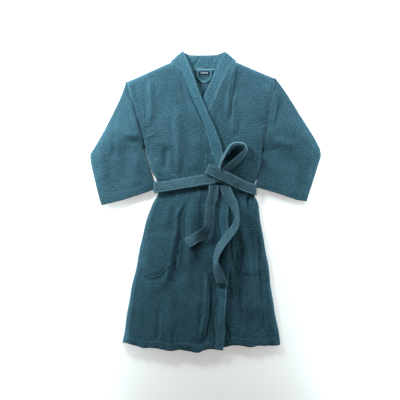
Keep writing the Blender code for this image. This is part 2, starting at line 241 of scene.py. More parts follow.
def bake(item):
    """Applies the object's modifiers."""
    graph = bpy.context.evaluated_depsgraph_get()
    mesh = bpy.data.meshes.new_from_object(item.evaluated_get(graph))
    old, name = item.data, item.name
    item.modifiers.clear()
    item.data = mesh
    bpy.data.meshes.remove(old)
    mesh.name = name


def thicken(item, thickness):
    """Gives an open sheet its thickness, half to each side."""
    solid = item.modifiers.new("thickness", "SOLIDIFY")
    solid.thickness = thickness
    solid.offset = 0.0
    bake(item)
    fix_normals(item)


def grid_faces(rows, columns, wrap=False):
    """Four-sided faces between neighbouring points of a grid; wrap joins its last column to its first."""
    r, c = np.meshgrid(np.arange(rows - 1), np.arange(columns if wrap else columns - 1), indexing="ij")
    r, c = r.ravel(), c.ravel()
    d = (c + 1) % columns
    return np.stack([r * columns + c, (r + 1) * columns + c, (r + 1) * columns + d, r * columns + d], axis=1)


def sheet_object(name, grid, cut, thickness, material):
    """A sheet of cloth through a grid of points; cut is the flat position of each point."""
    rows, columns = grid.shape[:2]
    faces = grid_faces(rows, columns)
    item = new_object(name, grid.reshape(-1, 3), faces, cut.reshape(-1, 2)[faces.ravel()], material)
    thicken(item, thickness)
    return item


def skin_object(name, rings, across, along, material, caps=True):
    """A skin through rings of points; across has one more value than a ring has points."""
    count, size = rings.shape[:2]
    faces = [tuple(f) for f in grid_faces(count, size, wrap=True)]
    uvs = []
    for r in range(count - 1):
        for c in range(size):
            uvs += [(across[c], along[r]), (across[c], along[r + 1]),
                    (across[c + 1], along[r + 1]), (across[c + 1], along[r])]
    if caps:
        for ring in (0, count - 1):
            faces.append(tuple(ring * size + c for c in range(size)))
            uvs += [(across[c], along[ring]) for c in range(size)]
    item = new_object(name, rings.reshape(-1, 3), faces, uvs, material)
    fix_normals(item)
    return item


def grid_normals(grid):
    down = np.gradient(grid, axis=0)
    over = np.gradient(grid, axis=1)
    normal = np.cross(down, over)
    normal /= np.maximum(np.linalg.norm(normal, axis=2, keepdims=True), 1e-12)
    return normal * np.where(normal[..., 2:3].mean() < 0, -1.0, 1.0)


def on_grid(grid, normal, row, column):
    """Points and normals at fractional rows and columns of a grid."""
    rows, columns = grid.shape[:2]
    row, column = np.clip(row, 0, rows - 1.001), np.clip(column, 0, columns - 1.001)
    r, c = row.astype(int), column.astype(int)
    fr, fc = (row - r)[:, None], (column - c)[:, None]
    pick = lambda a: ((1 - fr) * (1 - fc) * a[r, c] + (1 - fr) * fc * a[r, c + 1]
                      + fr * (1 - fc) * a[r + 1, c] + fr * fc * a[r + 1, c + 1])
    return pick(grid), pick(normal)


# A stitch's length, the gap after it and the thread's thickness; wide straps have the thicker thread.
STITCH, STITCH_GAP, THREAD, STRAP_THREAD = 0.0036, 0.0014, 0.0013, 0.0019
STITCH_SUNK = 0.0004


def add_stitches(item, rows, lift=0.0, thread=THREAD, cotton=None):
    """Rows of thread laid on a piece, as a material of their own. Each row is points and normals."""
    item.data.materials.append(cotton or PALE_THREAD_AND_EDGE_HIGHLIGHT)
    slot = len(item.data.materials) - 1
    bm = bmesh.new()
    bm.from_mesh(item.data)
    for points, normals in rows:
        total = lengths(points)[-1]
        count = int(total / (STITCH + STITCH_GAP))
        if count < 2:
            continue
        both = resample(np.hstack([points, normals]), count * 3 + 1)
        for k in range(count):
            start, end = both[3 * k], both[3 * k + 2]
            along = end[:3] - start[:3]
            size = np.linalg.norm(along)
            if size < 1e-6:
                continue
            along /= size
            normal = start[3:] / max(np.linalg.norm(start[3:]), 1e-9)
            side = np.cross(along, normal)
            origin = start[:3] + normal * lift
            tips = [bm.verts.new(origin - normal * STITCH_SUNK),
                    bm.verts.new(origin + along * size - normal * STITCH_SUNK)]
            arch = ((-1, 0.0), (-0.5, thread * 0.45), (0.5, thread * 0.45), (1, 0.0))
            rings = [[bm.verts.new(origin + along * size * t + side * thread / 2 * s + normal * h)
                      for s, h in arch] for t in (0.2, 0.8)]
            faces = [bm.faces.new((rings[0][i], rings[1][i], rings[1][(i + 1) % 4], rings[0][(i + 1) % 4]))
                     for i in range(4)]
            faces += [bm.faces.new((tips[0], rings[0][(i + 1) % 4], rings[0][i])) for i in range(4)]
            faces += [bm.faces.new((tips[1], rings[1][i], rings[1][(i + 1) % 4])) for i in range(4)]
            for face in faces:
                face.material_index = slot
                face.smooth = True
    bm.to_mesh(item.data)
    bm.free()


# ---------------------------------------------------------------- materials

def new_material(name, roughness, specular):
    material = bpy.data.materials.new(name)
    material.use_nodes = True
    shader = material.node_tree.nodes["Principled BSDF"]
    shader.inputs["Roughness"].default_value = roughness
    shader.inputs["Specular IOR Level"].default_value = specular
    return material, shader


def add_noise(material, scale, detail, roughness=0.5, vector=None):
    node = material.node_tree.nodes.new("ShaderNodeTexNoise")
    node.inputs["Scale"].default_value = scale
    node.inputs["Detail"].default_value = detail
    node.inputs["Roughness"].default_value = roughness
    if vector is not None:
        material.node_tree.links.new(vector, node.inputs["Vector"])
    return node.outputs[0]


def add_ramp(material, tone, low, high, middle=None):
    """Turns a tone of 0 to 1 into the shader's base colour."""
    ramp = material.node_tree.nodes.new("ShaderNodeValToRGB")
    stops = ramp.color_ramp.elements
    stops[0].color, stops[1].color = (*low, 1), (*high, 1)
    if middle:
        stops.new(0.5).color = (*middle, 1)
    shader = material.node_tree.nodes["Principled BSDF"]
    material.node_tree.links.new(tone, ramp.inputs[0])
    material.node_tree.links.new(ramp.outputs[0], shader.inputs["Base Color"])


def weave_material(name, colour, cell, depth, sheen, pattern="waffle", variation=0.16):
    """Woven cotton: the weave follows the cloth's own uv, which is in metres."""
    material, shader = new_material(name, 0.92, 0.18)
    nodes, links = material.node_tree.nodes, material.node_tree.links
    shader.inputs["Sheen Weight"].default_value = sheen
    shader.inputs["Sheen Roughness"].default_value = 0.42
    shader.inputs["Sheen Tint"].default_value = (0.42, 0.78, 1.0, 1.0)
    waffle = pattern == "waffle"

    def maths(operation, a, b=None):
        made = nodes.new("ShaderNodeMath")
        made.operation = operation
        for socket, value in zip(made.inputs, (a, b)):
            if isinstance(value, (int, float)):
                socket.default_value = value
            elif value is not None:
                links.new(value, socket)
        return made.outputs[0]

    place = nodes.new("ShaderNodeUVMap")
    place.uv_map = "weave"
    cloth = place.outputs[0]
    split = nodes.new("ShaderNodeSeparateXYZ")
    links.new(cloth, split.inputs[0])

    # The weave's ribs, which wander a little from straight.
    wander = add_noise(material, 60.0, 2.0, vector=cloth)
    drift = maths("MULTIPLY", maths("SUBTRACT", wander, 0.5), cell * 1.5)
    ribs = []
    for axis, size in ((0, cell), (1, cell if waffle else cell * 0.5)):
        turn = maths("MULTIPLY", maths("ADD", split.outputs[axis], drift), math.pi / size)
        ribs.append(maths("ABSOLUTE", maths("SINE", turn)))
    if waffle:
        cup = maths("MULTIPLY", ribs[0], ribs[1])
        weave = maths("SUBTRACT", 1.0, maths("POWER", cup, 0.7))
    else:
        weave = maths("MULTIPLY", maths("ADD", ribs[0], ribs[1]), 0.5)

    # Loose fibres, thick places in the yarn, the unevenness of washing, and mixed yarn colours.
    fuzz = add_noise(material, 420.0, 4.0, 0.7, cloth)
    slub_place = nodes.new("ShaderNodeMapping")
    slub_place.inputs["Scale"].default_value = (62.0, 360.0, 1.0)
    links.new(cloth, slub_place.inputs["Vector"])
    slub = add_noise(material, 1.0, 3.0, 0.6, slub_place.outputs[0])
    wash = add_noise(material, 11.0, 5.0, 0.6, cloth)
    heather = add_noise(material, 190.0, 2.0, vector=cloth)

    # The weave's cups, and the grooves between plain ribs, are painted darker than its raised ridges: painted
    # shade in the hollows.
    tone = maths("MULTIPLY", maths("SUBTRACT", weave, 0.40), 0.42)
    for texture, share in ((fuzz, 1.1), (slub, 1.0), (wash, 0.9), (heather, 1.5)):
        tone = maths("ADD", tone, maths("MULTIPLY", maths("SUBTRACT", texture, 0.5), share))
    thread = maths("MAXIMUM", maths("SUBTRACT", slub, 0.60), 0.0)
    tone = maths("ADD", tone, maths("MULTIPLY", thread, 6.0 if waffle else 0.0))
    low, high = 1 - variation * 2.6, 1 + variation * 3.4
    add_ramp(material, maths("ADD", tone, 0.5), [c * low for c in colour], [c * high for c in colour], colour)

    height = maths("ADD", weave, maths("MULTIPLY", fuzz, 0.6))
    height = maths("ADD", height, maths("MULTIPLY", slub, 0.6))
    height = maths("ADD", height, maths("MULTIPLY", heather, 0.9))
    bump = nodes.new("ShaderNodeBump")
    bump.inputs["Strength"].default_value = 0.85
    bump.inputs["Distance"].default_value = depth
    links.new(height, bump.inputs["Height"])
    links.new(bump.outputs[0], shader.inputs["Normal"])
    return material


def plain_material(name, colour, roughness, spread, scale):
    material, _ = new_material(name, roughness, 0.2)
    low, high = [c * (1 - spread) for c in colour], [min(c * (1 + spread), 1.0) for c in colour]
    add_ramp(material, add_noise(material, scale, 4.0), low, high)
    return material


ROBE_CLOTH = weave_material("robe_waffle", (0.026, 0.068, 0.092), 0.0054, 0.0016, 0.36, variation=0.19)
# The collar bands' cloth is the robe's waffle made lighter: a painted highlight for bands that face the
# light.
COLLAR_CLOTH = weave_material("collar_waffle_painted_highlight", (0.033, 0.090, 0.122), 0.0054, 0.0016, 0.42, variation=0.19)
BELT_CLOTH = weave_material("belt_waffle", (0.041, 0.081, 0.106), 0.0050, 0.0014, 0.42, variation=0.19)
TAPE_COTTON = weave_material("neck_tape_twill", (0.080, 0.190, 0.245), 0.0016, 0.0003, 0.30, "plain", 0.08)
LOOP_COTTON = weave_material("hanger_cotton", (0.046, 0.118, 0.152), 0.0018, 0.0004, 0.35, "plain", 0.10)
LABEL_SATIN = weave_material("label_satin_weave", (0.006, 0.009, 0.024), 0.0010, 0.0001, 0.15, "plain", 0.06)
# Pale stitching thread, made paler still so that it also paints the highlights along the straps' and bands'
# edges.
PALE_THREAD_AND_EDGE_HIGHLIGHT = plain_material("pale_thread_and_edge_highlight", (0.210, 0.360, 0.420), 0.8, 0.15, 300.0)
TONAL_THREAD = plain_material("tonal_thread", (0.066, 0.158, 0.205), 0.8, 0.15, 300.0)
PALE_THREAD = plain_material("label_bar_thread", (0.62, 0.68, 0.74), 0.7, 0.15, 400.0)
FLOOR_PAPER = plain_material("floor_paper", (0.80, 0.765, 0.75), 0.85, 0.01, 2.0)
floor_shader = FLOOR_PAPER.node_tree.nodes["Principled BSDF"]
floor_shader.inputs["Emission Color"].default_value = (1.0, 0.955, 0.94, 1.0)
floor_shader.inputs["Emission Strength"].default_value = 0.37


# ---------------------------------------------------------------- simulation

def settle(grid, held, floor, frames=10, grow=0.0015, reach=0.0022):
    """Lets a sheet fall and settle under its own weight, its held points staying where they are.
    The cloth is cut a little larger than the space it lies in, so it buckles softly."""
    rows, columns = grid.shape[:2]
    scene = bpy.context.scene
    faces = grid_faces(rows, columns)
    item = new_object("settling", grid.reshape(-1, 3), faces, np.zeros((len(faces) * 4, 2)), FLOOR_PAPER)
    group = item.vertex_groups.new(name="held")
    weights = np.round(held.ravel(), 1)
    for level in np.unique(weights):
        if level > 0:
            group.add([int(i) for i in np.flatnonzero(weights == level)], float(level), "REPLACE")
    base = new_object("settling_floor", [(-1, -1, floor), (1, -1, floor), (1, 1, floor), (-1, 1, floor)],
                      [(0, 1, 2, 3)], np.zeros((4, 2)), FLOOR_PAPER)
    base.modifiers.new("collision", "COLLISION")
    base.collision.thickness_outer = 0.001
    base.collision.cloth_friction = 12.0
    cloth = item.modifiers.new("cloth", "CLOTH")
    s = cloth.settings
    s.quality = 6
    s.mass = 0.25
    s.tension_stiffness, s.compression_stiffness, s.shear_stiffness = 25, 25, 12
    s.bending_stiffness = 5.0
    s.tension_damping = s.compression_damping = s.shear_damping = 12
    s.bending_damping = 0.8
    s.air_damping = 2.0
    s.vertex_group_mass = "held"
    s.pin_stiffness = 8.0
    s.shrink_min = -grow
    cloth.collision_settings.distance_min = 0.0008
    cloth.collision_settings.use_self_collision = False
    cloth.point_cache.frame_start, cloth.point_cache.frame_end = 1, frames
    for number in range(1, frames + 1):
        scene.frame_set(number)
    graph = bpy.context.evaluated_depsgraph_get()
    mesh = item.evaluated_get(graph).to_mesh()
    moved = np.zeros(rows * columns * 3)
    mesh.vertices.foreach_get("co", moved)
    scene.frame_set(1)
    bpy.data.objects.remove(item)
    bpy.data.objects.remove(base)
    moved = moved.reshape(rows, columns, 3)
    shift = moved - grid
    size = np.linalg.norm(shift, axis=2, keepdims=True)
    shift *= np.minimum(1.0, reach / np.maximum(size, 1e-9))
    return grid + shift


# ---------------------------------------------------------------- heights of the body

def plate(node):
    """A body piece's outline, with a point every 8 mm or so and the waver of its edges."""
    line = outline(node)
    sides = []
    for pair in zip(line, np.roll(line, -1, axis=0)):
        count = max(2, int(np.hypot(*np.subtract(*pair)) / 0.008) + 1)
        sides.append(resample(np.array(pair), count, 2)[:-1])
    return hang(np.vstack(sides))


RIGHT_MID = top_of("right_front_panel") - 0.00125
LEFT_MID = top_of("left_front_panel") - 0.00125
BACK_MID = 0.0013
SEAM_Z = 0.0048
belt_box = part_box("belt_back_run")
BELT_Y = (belt_box[0].y + belt_box[1].y) / 2


def belt_line(x):
    """The middle of the belt as it crosses the front."""
    return np.where(x < 0.01, 0.055 + (x + 0.17) * 0.17, 0.1225 - (x - 0.02) * 0.478)


def above_belt(xy):
    """How far each point lies above the middle of the belt."""
    return xy[:, 1] - belt_line(np.clip(xy[:, 0], -0.17, 0.18))


def cinch(xy):
    """1 under the belt, falling to 0 a hand's width away."""
    return np.exp(-(above_belt(xy) / 0.034) ** 2)


def gathers(xy, seed, size=0.046, rise=0.0017, reach=0.062):
    """Soft pleats that start at the belt and die away from it."""
    away = above_belt(xy)
    fan = xy[:, 0] / (1 + 0.9 * np.abs(away))
    wave = np.sin(2 * math.pi * fan / size + 1.7 * np.sin(fan * 31 + seed) + seed)
    wave += 0.5 * np.sin(2 * math.pi * fan / (size * 0.57) + 2.1 * seed)
    grow = smoothstep((np.abs(away) - 0.012) / 0.02)
    return rise * wave * grow * np.exp(-np.abs(away) / reach)


def drape(xy, seed):
    """Soft upright folds that widen towards the hem."""
    fan = xy[:, 0] / (1.0 + 0.45 * np.clip(0.05 - xy[:, 1], 0, 1)) + 0.012 * np.sin(xy[:, 1] * 7 + seed)
    wave = (np.sin(fan * 2 * math.pi / 0.105 + seed) + 0.55 * np.sin(fan * 2 * math.pi / 0.062 + 2.3 * seed)
            + 0.15 * np.sin(fan * 2 * math.pi / 0.033 + 4.1 * seed + xy[:, 1] * 9))
    grow = 0.25 + 0.75 * smoothstep((0.02 - xy[:, 1]) / 0.3)
    return wave * grow


def hang(points):
    """The waver of the side edges and the hem, the same for every layer of the body."""
    x, y = points[..., 0], points[..., 1]
    across = (0.0016 * np.sin(y * 23 + 0.6) + 0.0010 * np.sin(y * 51 + 1.9)) * smoothstep((0.16 - y) / 0.1)
    bulge = np.where(x > 0, 0.0095, -0.0065) * smoothstep((np.abs(x) - 0.12) / 0.04)
    across += bulge * np.exp(-((y - 0.110) / 0.040) ** 2)
    down = (0.0030 * np.sin(x * 62 + 0.8) + 0.0008 * np.sin(x * 125 + 2.0)) * smoothstep((-0.46 - y) / 0.08)
    moved = points.copy()
    moved[..., 0] += across
    moved[..., 1] += down
    return moved


# How far in from a front's side and shoulder seams its surface still slopes.
SIDE_REACH, SHOULDER_REACH = 0.080, 0.030


def slope(distance):
    """Rises from 0 to 1 over SIDE_REACH, steeply at first and then almost evenly."""
    even = 1 - (1 - np.clip(distance / SIDE_REACH, 0, 1)) ** 1.35
    return 0.18 * rounded(distance / 0.012) + 0.44 * rounded(distance / 0.038) + 0.38 * even


def front_height(xy, middle, side, shoulder, hem_y, rows, seed):
    """A front's height: level on top, turned down at its side and shoulder seams, low at the hem."""
    from_side = nearest(xy, side)[0]
    from_shoulder = nearest(xy, shoulder)[0]
    low = smoothstep((hem_y + 0.16 - xy[:, 1]) / 0.16)
    height = middle - 0.0035 * low - 0.0022 * cinch(xy)
    height += 0.0016 * (1 - cinch(xy)) * smoothstep(from_side / 0.1)
    height += 0.0010 * ripple(xy, 0.11, seed) + 0.0005 * ripple(xy, 0.045, seed + 1)
    height += gathers(xy, seed) + folds(xy, rows) + 0.0027 * drape(xy, seed)
    along = xy[:, 0] / 0.058 + 0.8 * np.sin(xy[:, 0] * 17 + seed)
    height += 0.0024 * smoothstep((hem_y + 0.11 - xy[:, 1]) / 0.11) * np.sin(2 * math.pi * along)
    edge = slope(from_side) * rounded(from_shoulder / SHOULDER_REACH)
    return SEAM_Z + (height - SEAM_Z) * edge


# ---------------------------------------------------------------- fronts, the right one on top

RIGHT_FOLDS = (
    # chest
    (((-0.213, 0.470), (-0.205, 0.400), (-0.205, 0.290)), 0.0036, 0.012, 0.0),
    (((-0.232, 0.470), (-0.231, 0.395), (-0.224, 0.300)), -0.0030, 0.009, 0.0),
    (((-0.092, 0.456), (-0.080, 0.378), (-0.068, 0.320)), -0.0018, 0.012, 0.0),
    (((-0.118, 0.380), (-0.113, 0.290), (-0.109, 0.190), (-0.108, 0.098)), 0.0034, 0.016, 0.55),
    (((-0.212, 0.200), (-0.182, 0.216), (-0.150, 0.216), (-0.128, 0.196)), 0.0018, 0.012, 0.5),
    (((-0.150, 0.214), (-0.150, 0.160), (-0.160, 0.110)), -0.0042, 0.016, 0.0),
    (((-0.182, 0.170), (-0.176, 0.130), (-0.172, 0.098)), 0.0026, 0.012, 0.0),
    (((-0.232, 0.262), (-0.214, 0.278), (-0.196, 0.284)), -0.0022, 0.006, 0.3),
    (((-0.228, 0.236), (-0.208, 0.250), (-0.188, 0.252)), 0.0020, 0.006, 0.0),
    (((-0.040, 0.250), (-0.040, 0.180), (-0.050, 0.110)), 0.0022, 0.022, 0.3),
    (((0.000, 0.290), (0.016, 0.220), (0.022, 0.160)), -0.0016, 0.014, 0.0),
    # skirt
    (((-0.073, 0.026), (-0.080, -0.015), (-0.096, -0.055), (-0.099, -0.110), (-0.106, -0.150),
      (-0.117, -0.205), (-0.130, -0.260), (-0.148, -0.330)), 0.0040, 0.013, -0.8),
    (((-0.148, -0.300), (-0.165, -0.370), (-0.178, -0.440), (-0.182, -0.545)), -0.0042, 0.022, 0.25),
    (((0.013, -0.255), (0.012, -0.330), (0.006, -0.420), (-0.004, -0.480), (-0.013, -0.550)),
     0.0050, 0.010, -0.75),
    (((-0.016, 0.020), (-0.018, -0.050), (-0.014, -0.130)), -0.0034, 0.010, 0.3),
    (((-0.045, 0.020), (-0.050, -0.050), (-0.052, -0.140), (-0.058, -0.260)), 0.0030, 0.020, 0.0),
    (((-0.130, 0.010), (-0.146, -0.050), (-0.160, -0.100)), 0.0022, 0.018, 0.2),
    (((-0.080, -0.260), (-0.092, -0.380), (-0.098, -0.500)), 0.0026, 0.030, 0.0),
    (((-0.226, -0.300), (-0.244, -0.400), (-0.256, -0.520)), 0.0026, 0.024, 0.0),
    (((-0.030, -0.330), (-0.040, -0.440), (-0.046, -0.555)), 0.0028, 0.022, 0.2),
)
LEFT_FOLDS = (
    (((0.124, 0.522), (0.110, 0.492), (0.100, 0.440), (0.092, 0.385), (0.090, 0.300)), 0.0052, 0.0090, -0.85),
    (((0.114, 0.420), (0.106, 0.360), (0.106, 0.290), (0.104, 0.240)), 0.0030, 0.010, 0.0),
    (((0.130, 0.350), (0.126, 0.300), (0.120, 0.240)), -0.0030, 0.009, 0.0),
    (((0.150, 0.500), (0.160, 0.440), (0.164, 0.360)), -0.0016, 0.026, 0.0),
    (((0.232, 0.452), (0.226, 0.380), (0.216, 0.290)), 0.0024, 0.012, 0.0),
    (((0.205, 0.300), (0.190, 0.220), (0.176, 0.130)), 0.0022, 0.020, 0.0),
    (((0.162, 0.026), (0.160, 0.000), (0.158, -0.045)), -0.0050, 0.009, 0.0),
    (((0.136, 0.020), (0.138, -0.060), (0.142, -0.180)), 0.0020, 0.018, 0.0),
    (((0.158, -0.090), (0.162, -0.200), (0.166, -0.330), (0.172, -0.480)), 0.0026, 0.022, 0.0),
    (((0.190, -0.060), (0.194, -0.190), (0.200, -0.300), (0.206, -0.430)), -0.0036, 0.013, 0.3),
    (((0.122, -0.160), (0.124, -0.300), (0.128, -0.500)), -0.0028, 0.016, 0.0),
    (((0.232, -0.300), (0.242, -0.420), (0.252, -0.530)), 0.0022, 0.018, 0.0),
)


# A front's corners: its shoulder's outer and inner ends, then its hem's outer and inner ends.
CORNERS = {
    "right_front_panel": ((-0.299, 0.453), (-0.130, 0.529), (-0.316, -0.536), (0.022, -0.566)),
    "left_front_panel": ((0.264, 0.466), (0.114, 0.530), (0.283, -0.541), (-0.069, -0.550)),
}
ARMPITS = {"right_front_panel": (-0.230, 0.204), "left_front_panel": (0.217, 0.190)}
HEM = 0.028
FOLD_EASE = 1.03


def front_piece(name, middle, rows_of_folds, seed, columns=84, rows=226):
    """A front panel's flat grid and its settled grid."""
    outer_top, inner_top, outer_hem, inner_hem = CORNERS[name]
    loop = plate(name)
    left = stretch(loop, outer_top, outer_hem)
    right = stretch(loop, inner_top, inner_hem)
    top = stretch(loop, outer_top, inner_top)
    bottom = stretch(loop, outer_hem, inner_hem)
    flat = patch(left, right, top, bottom, rows, columns)
    tuck = np.sign(inner_top[0] - outer_top[0]) * 0.005
    across = np.linspace(0, 1, columns)
    flat[..., 0] += tuck * smoothstep((across - 0.9) / 0.1)
    xy = flat.reshape(-1, 2)
    side = left[int(np.argmin(np.hypot(*(left - np.array(ARMPITS[name])).T))):]
    z = front_height(xy, middle, side, top, min(bottom[:, 1]), rows_of_folds, seed)
    grid = np.dstack([flat, z.reshape(rows, columns)])
    held = np.zeros((rows, columns))
    held[:, :4] = 1.0
    held[:, -9:] = 1.0
    held[:4] = 1.0
    held[-2:] = 0.3
    held = np.maximum(held, np.where(cinch(xy).reshape(rows, columns) > 0.6, 1.0, 0.0))
    return flat, settle(grid, held, middle - 0.0036)


def add_armhole(grid, flat, name):
    """A groove along the armhole's seam and a pressed ridge of seam allowance beside it."""
    distance, t, _ = nearest(flat.reshape(-1, 2), np.array([CORNERS[name][0], ARMPITS[name]]))
    groove = -0.0042 * np.exp(-(distance / 0.0038) ** 2)
    crinkle = 1 + 0.35 * np.sin(t * 75 + 1.2 * np.sin(t * 31)) * smoothstep((t - 0.15) / 0.3)
    ridge = 0.0040 * np.exp(-((distance - 0.012) / 0.0065) ** 2) * (0.6 + 0.4 * (1 - t)) * crinkle
    grid[..., 2] += (groove + ridge).reshape(grid.shape[:2])


def fill_left_front(grid, flat):
    """The left front is fuller towards its own side, and most of all above the belt."""
    name = "left_front_panel"
    rise = smoothstep((flat[..., 0] - 0.105) / 0.06) * 0.0026
    rise += smoothstep((flat[..., 1] - 0.10) / 0.08) * smoothstep((flat[..., 0] - 0.13) / 0.07) * 0.0016
    xy = flat.reshape(-1, 2)
    from_edge = nearest(xy, stretch(plate(name), ARMPITS[name], CORNERS[name][2]))[0]
    from_top = nearest(xy, np.array(CORNERS[name][:2]))[0]
    grid[..., 2] += rise * (slope(from_edge) * rounded(from_top / SHOULDER_REACH)).reshape(rise.shape)


def rows_within(grid, distance):
    """How many rows from the end of a grid lie within a distance."""
    return distance / np.mean(np.linalg.norm(np.diff(grid[-12:], axis=0), axis=2))


def turn_hem(grid):
    """The hem is turned under, so it stands a little higher up to its stitching."""
    rows = grid.shape[0]
    back = (rows - 1 - np.arange(rows)) / rows_within(grid, 1.0)
    grid[..., 2] += (0.0012 * smoothstep((HEM + 0.0015 - back) / 0.003)
                     - 0.0007 * np.exp(-((back - HEM) / 0.002) ** 2))[:, None]


def hem_stitches(grid, start=0):
    columns = np.arange(start, grid.shape[1] - 1, 0.5)
    row = np.full(len(columns), grid.shape[0] - 1 - rows_within(grid, HEM))
    row += 0.25 * np.sin(columns * 0.35)
    points, normals = on_grid(grid, grid_normals(grid), row, columns)
    return points + normals * CLOTH / 2, normals


def armhole_stitches(grid, last_row):
    """Stitches down a front, 6.5 mm inside its armhole."""
    row = np.arange(3, last_row, 0.5)
    step = np.linalg.norm(np.diff(grid[:, :10], axis=1), axis=2).mean()
    points, normals = on_grid(grid, grid_normals(grid), row, np.full(len(row), 0.0065 / step))
    return points + normals * CLOTH / 2, normals


right_flat, right_grid = front_piece("right_front_panel", RIGHT_MID, RIGHT_FOLDS, 3)
add_armhole(right_grid, right_flat, "right_front_panel")
left_flat, left_grid = front_piece("left_front_panel", LEFT_MID, LEFT_FOLDS, 8)
fill_left_front(left_grid, left_flat)
add_armhole(left_grid, left_flat, "left_front_panel")
turn_hem(right_grid)
turn_hem(left_grid)

right_front = sheet_object("right_front", right_grid, right_flat, CLOTH, ROBE_CLOTH)
left_front = sheet_object("left_front", left_grid, left_flat, CLOTH, ROBE_CLOTH)
add_stitches(right_front, [hem_stitches(right_grid), armhole_stitches(right_grid, 54)], cotton=TONAL_THREAD)
add_stitches(left_front, [hem_stitches(left_grid, 30)], cotton=TONAL_THREAD)
add_stitches(left_front, [armhole_stitches(left_grid, 58)], thread=0.0021)
for item, node, flat in ((right_front, "right_front_panel", right_flat),
                         (left_front, "left_front_panel", left_flat)):
    size, area = flat_cut(flat, FOLD_EASE)
    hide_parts(node)
    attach(item, "robe")


# ---------------------------------------------------------------- back

def back_flat_grid():
    """The back's flat grid: the fronts' outer sides, the shoulders, the low neck and the hem."""
    right, left = CORNERS["right_front_panel"], CORNERS["left_front_panel"]
    sides = (stretch(plate("right_front_panel"), right[0], right[2]),
             stretch(plate("left_front_panel"), left[0], left[2]))
    top = np.array([right[0], (-0.134, 0.526), (-0.061, 0.5045), (0.044, 0.5045), (0.120, 0.527), left[0]])
    hem = (right[2], (-0.160, -0.556), (0.120, -0.548), left[2])
    bottom = hang(curve([(*p, 0) for p in hem], 60)[:, :2])
    return patch(*sides, top, bottom, 200, 110)


back_flat = back_flat_grid()
back_xy = back_flat.reshape(-1, 2)
belt_width = belt_box[1].y - belt_box[0].y
over_belt = smoothstep((belt_width / 2 + 0.010 - np.abs(back_xy[:, 1] - BELT_Y)) / 0.008)
back_z = BACK_MID + 0.0036 * over_belt + 0.0003 * np.abs(ripple(back_xy, 0.08, 21))
inside_neck = smoothstep((back_xy[:, 1] - 0.30) / 0.1)
back_z += inside_neck * np.maximum(0.0009 * ripple(back_xy, 0.035, 22), 0)
back_grid = np.dstack([back_flat, back_z.reshape(back_flat.shape[:2])])
back = sheet_object("back", back_grid, back_flat, CLOTH, ROBE_CLOTH)
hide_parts("back_panel")
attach(back, "robe")
size, area = flat_cut(back_flat)


# ---------------------------------------------------------------- straps and bands

# Half of a strap's cross-section, from its edge to its middle: across and thickness, as shares.
EDGE_PROFILE = ((-1.0, 0.0), (-0.992, 0.55), (-0.965, 0.92), (-0.91, 1.06), (-0.845, 1.0), (-0.80, 0.62),
                (-0.755, 0.95), (-0.60, 1.02), (-0.38, 1.0), (-0.18, 1.03), (0.0, 1.0))
TOP_ACROSS, TOP_HEIGHT = np.array(EDGE_PROFILE + tuple((-a, h) for a, h in EDGE_PROFILE[-2::-1])).T
STITCH_AT = 0.80
BOTH_EDGES = (-STITCH_AT, STITCH_AT)


def strap_grid(centre, across, width, thickness, waves=0.0, seed=1, puff=0.0):
    """The upper and lower faces of a flat strap along a line of points."""
    count = len(centre)
    along = np.gradient(centre, axis=0)
    along /= np.linalg.norm(along, axis=1, keepdims=True)
    across = across - (across * along).sum(1, keepdims=True) * along
    across /= np.linalg.norm(across, axis=1, keepdims=True)
    normal = np.cross(along, across)
    for i in range(count - 2, -1, -1):
        if normal[i] @ normal[i + 1] < 0:
            normal[i] = -normal[i]
    width = np.broadcast_to(width, (count,))[:, None, None]
    a = TOP_ACROSS[None, :, None]
    h = TOP_HEIGHT[None, :, None]
    s = lengths(centre)
    wave = np.zeros((count, a.shape[1]))
    if waves:
        for k, share in enumerate((-0.8, 0.0, 0.8)):
            line = ripple(np.stack([s, np.full(count, 0.3 * k)], 1), 0.024, seed + k)
            wave += waves * line[:, None] * np.exp(-((a[0, :, 0] - share) / 0.5) ** 2)
    middle = centre[:, None] + across[:, None] * a * width / 2 + normal[:, None] * wave[..., None]
    bow = puff * (1 - a ** 2)
    top = middle + normal[:, None] * (h * thickness / 2 + bow)
    bottom = middle - normal[:, None] * (h * thickness / 2)
    return top, bottom, normal, s


def add_folds(points, rows):
    points[..., 2] += folds(points[..., :2].reshape(-1, 2), rows).reshape(points.shape[:2])


def strap_object(name, centre, across, width, thickness, material, waves=0.0004, seed=1, puff=0.0,
                 creases=(), stitched=BOTH_EDGES):
    """A folded strap with rows of edge stitching on its upper face."""
    top, bottom, normal, s = strap_grid(centre, across, width, thickness, waves, seed, puff)
    for face in (top, bottom):
        add_folds(face, creases)
    rings = np.concatenate([top, bottom[:, -2:0:-1]], axis=1)
    ends = []
    for end, beside in ((0, 1), (-1, -2)):
        mid = (top[end] + bottom[end]) / 2
        mid = np.concatenate([mid, mid[-2:0:-1]])
        out = rings[end].mean(0) - rings[beside].mean(0)
        out = out / max(np.linalg.norm(out), 1e-9)
        ends.append(mid + (rings[end] - mid) * 0.45 + out * 0.0011)
    rings = np.concatenate([ends[0][None], rings, ends[1][None]])
    a = TOP_ACROSS * np.mean(width) / 2
    across_uv = np.concatenate([a, 2 * a[-1] - a[-2:0:-1], [2 * a[-1] - a[0]]])
    item = skin_object(name, rings, across_uv, np.concatenate([[s[0] - 0.001], s, [s[-1] + 0.001]]), material)
    normals = normal * np.sign(normal[:, 2:3].mean() or 1)
    upper = top if normal[:, 2].mean() >= 0 else bottom
    columns = [int(np.argmin(np.abs(TOP_ACROSS - share))) for share in stitched]
    rows = [(upper[:, column] + normals * 0.0002, normals) for column in columns]
    add_stitches(item, rows, lift=0.0001, thread=STRAP_THREAD if np.mean(width) > 0.02 else THREAD)
    return item


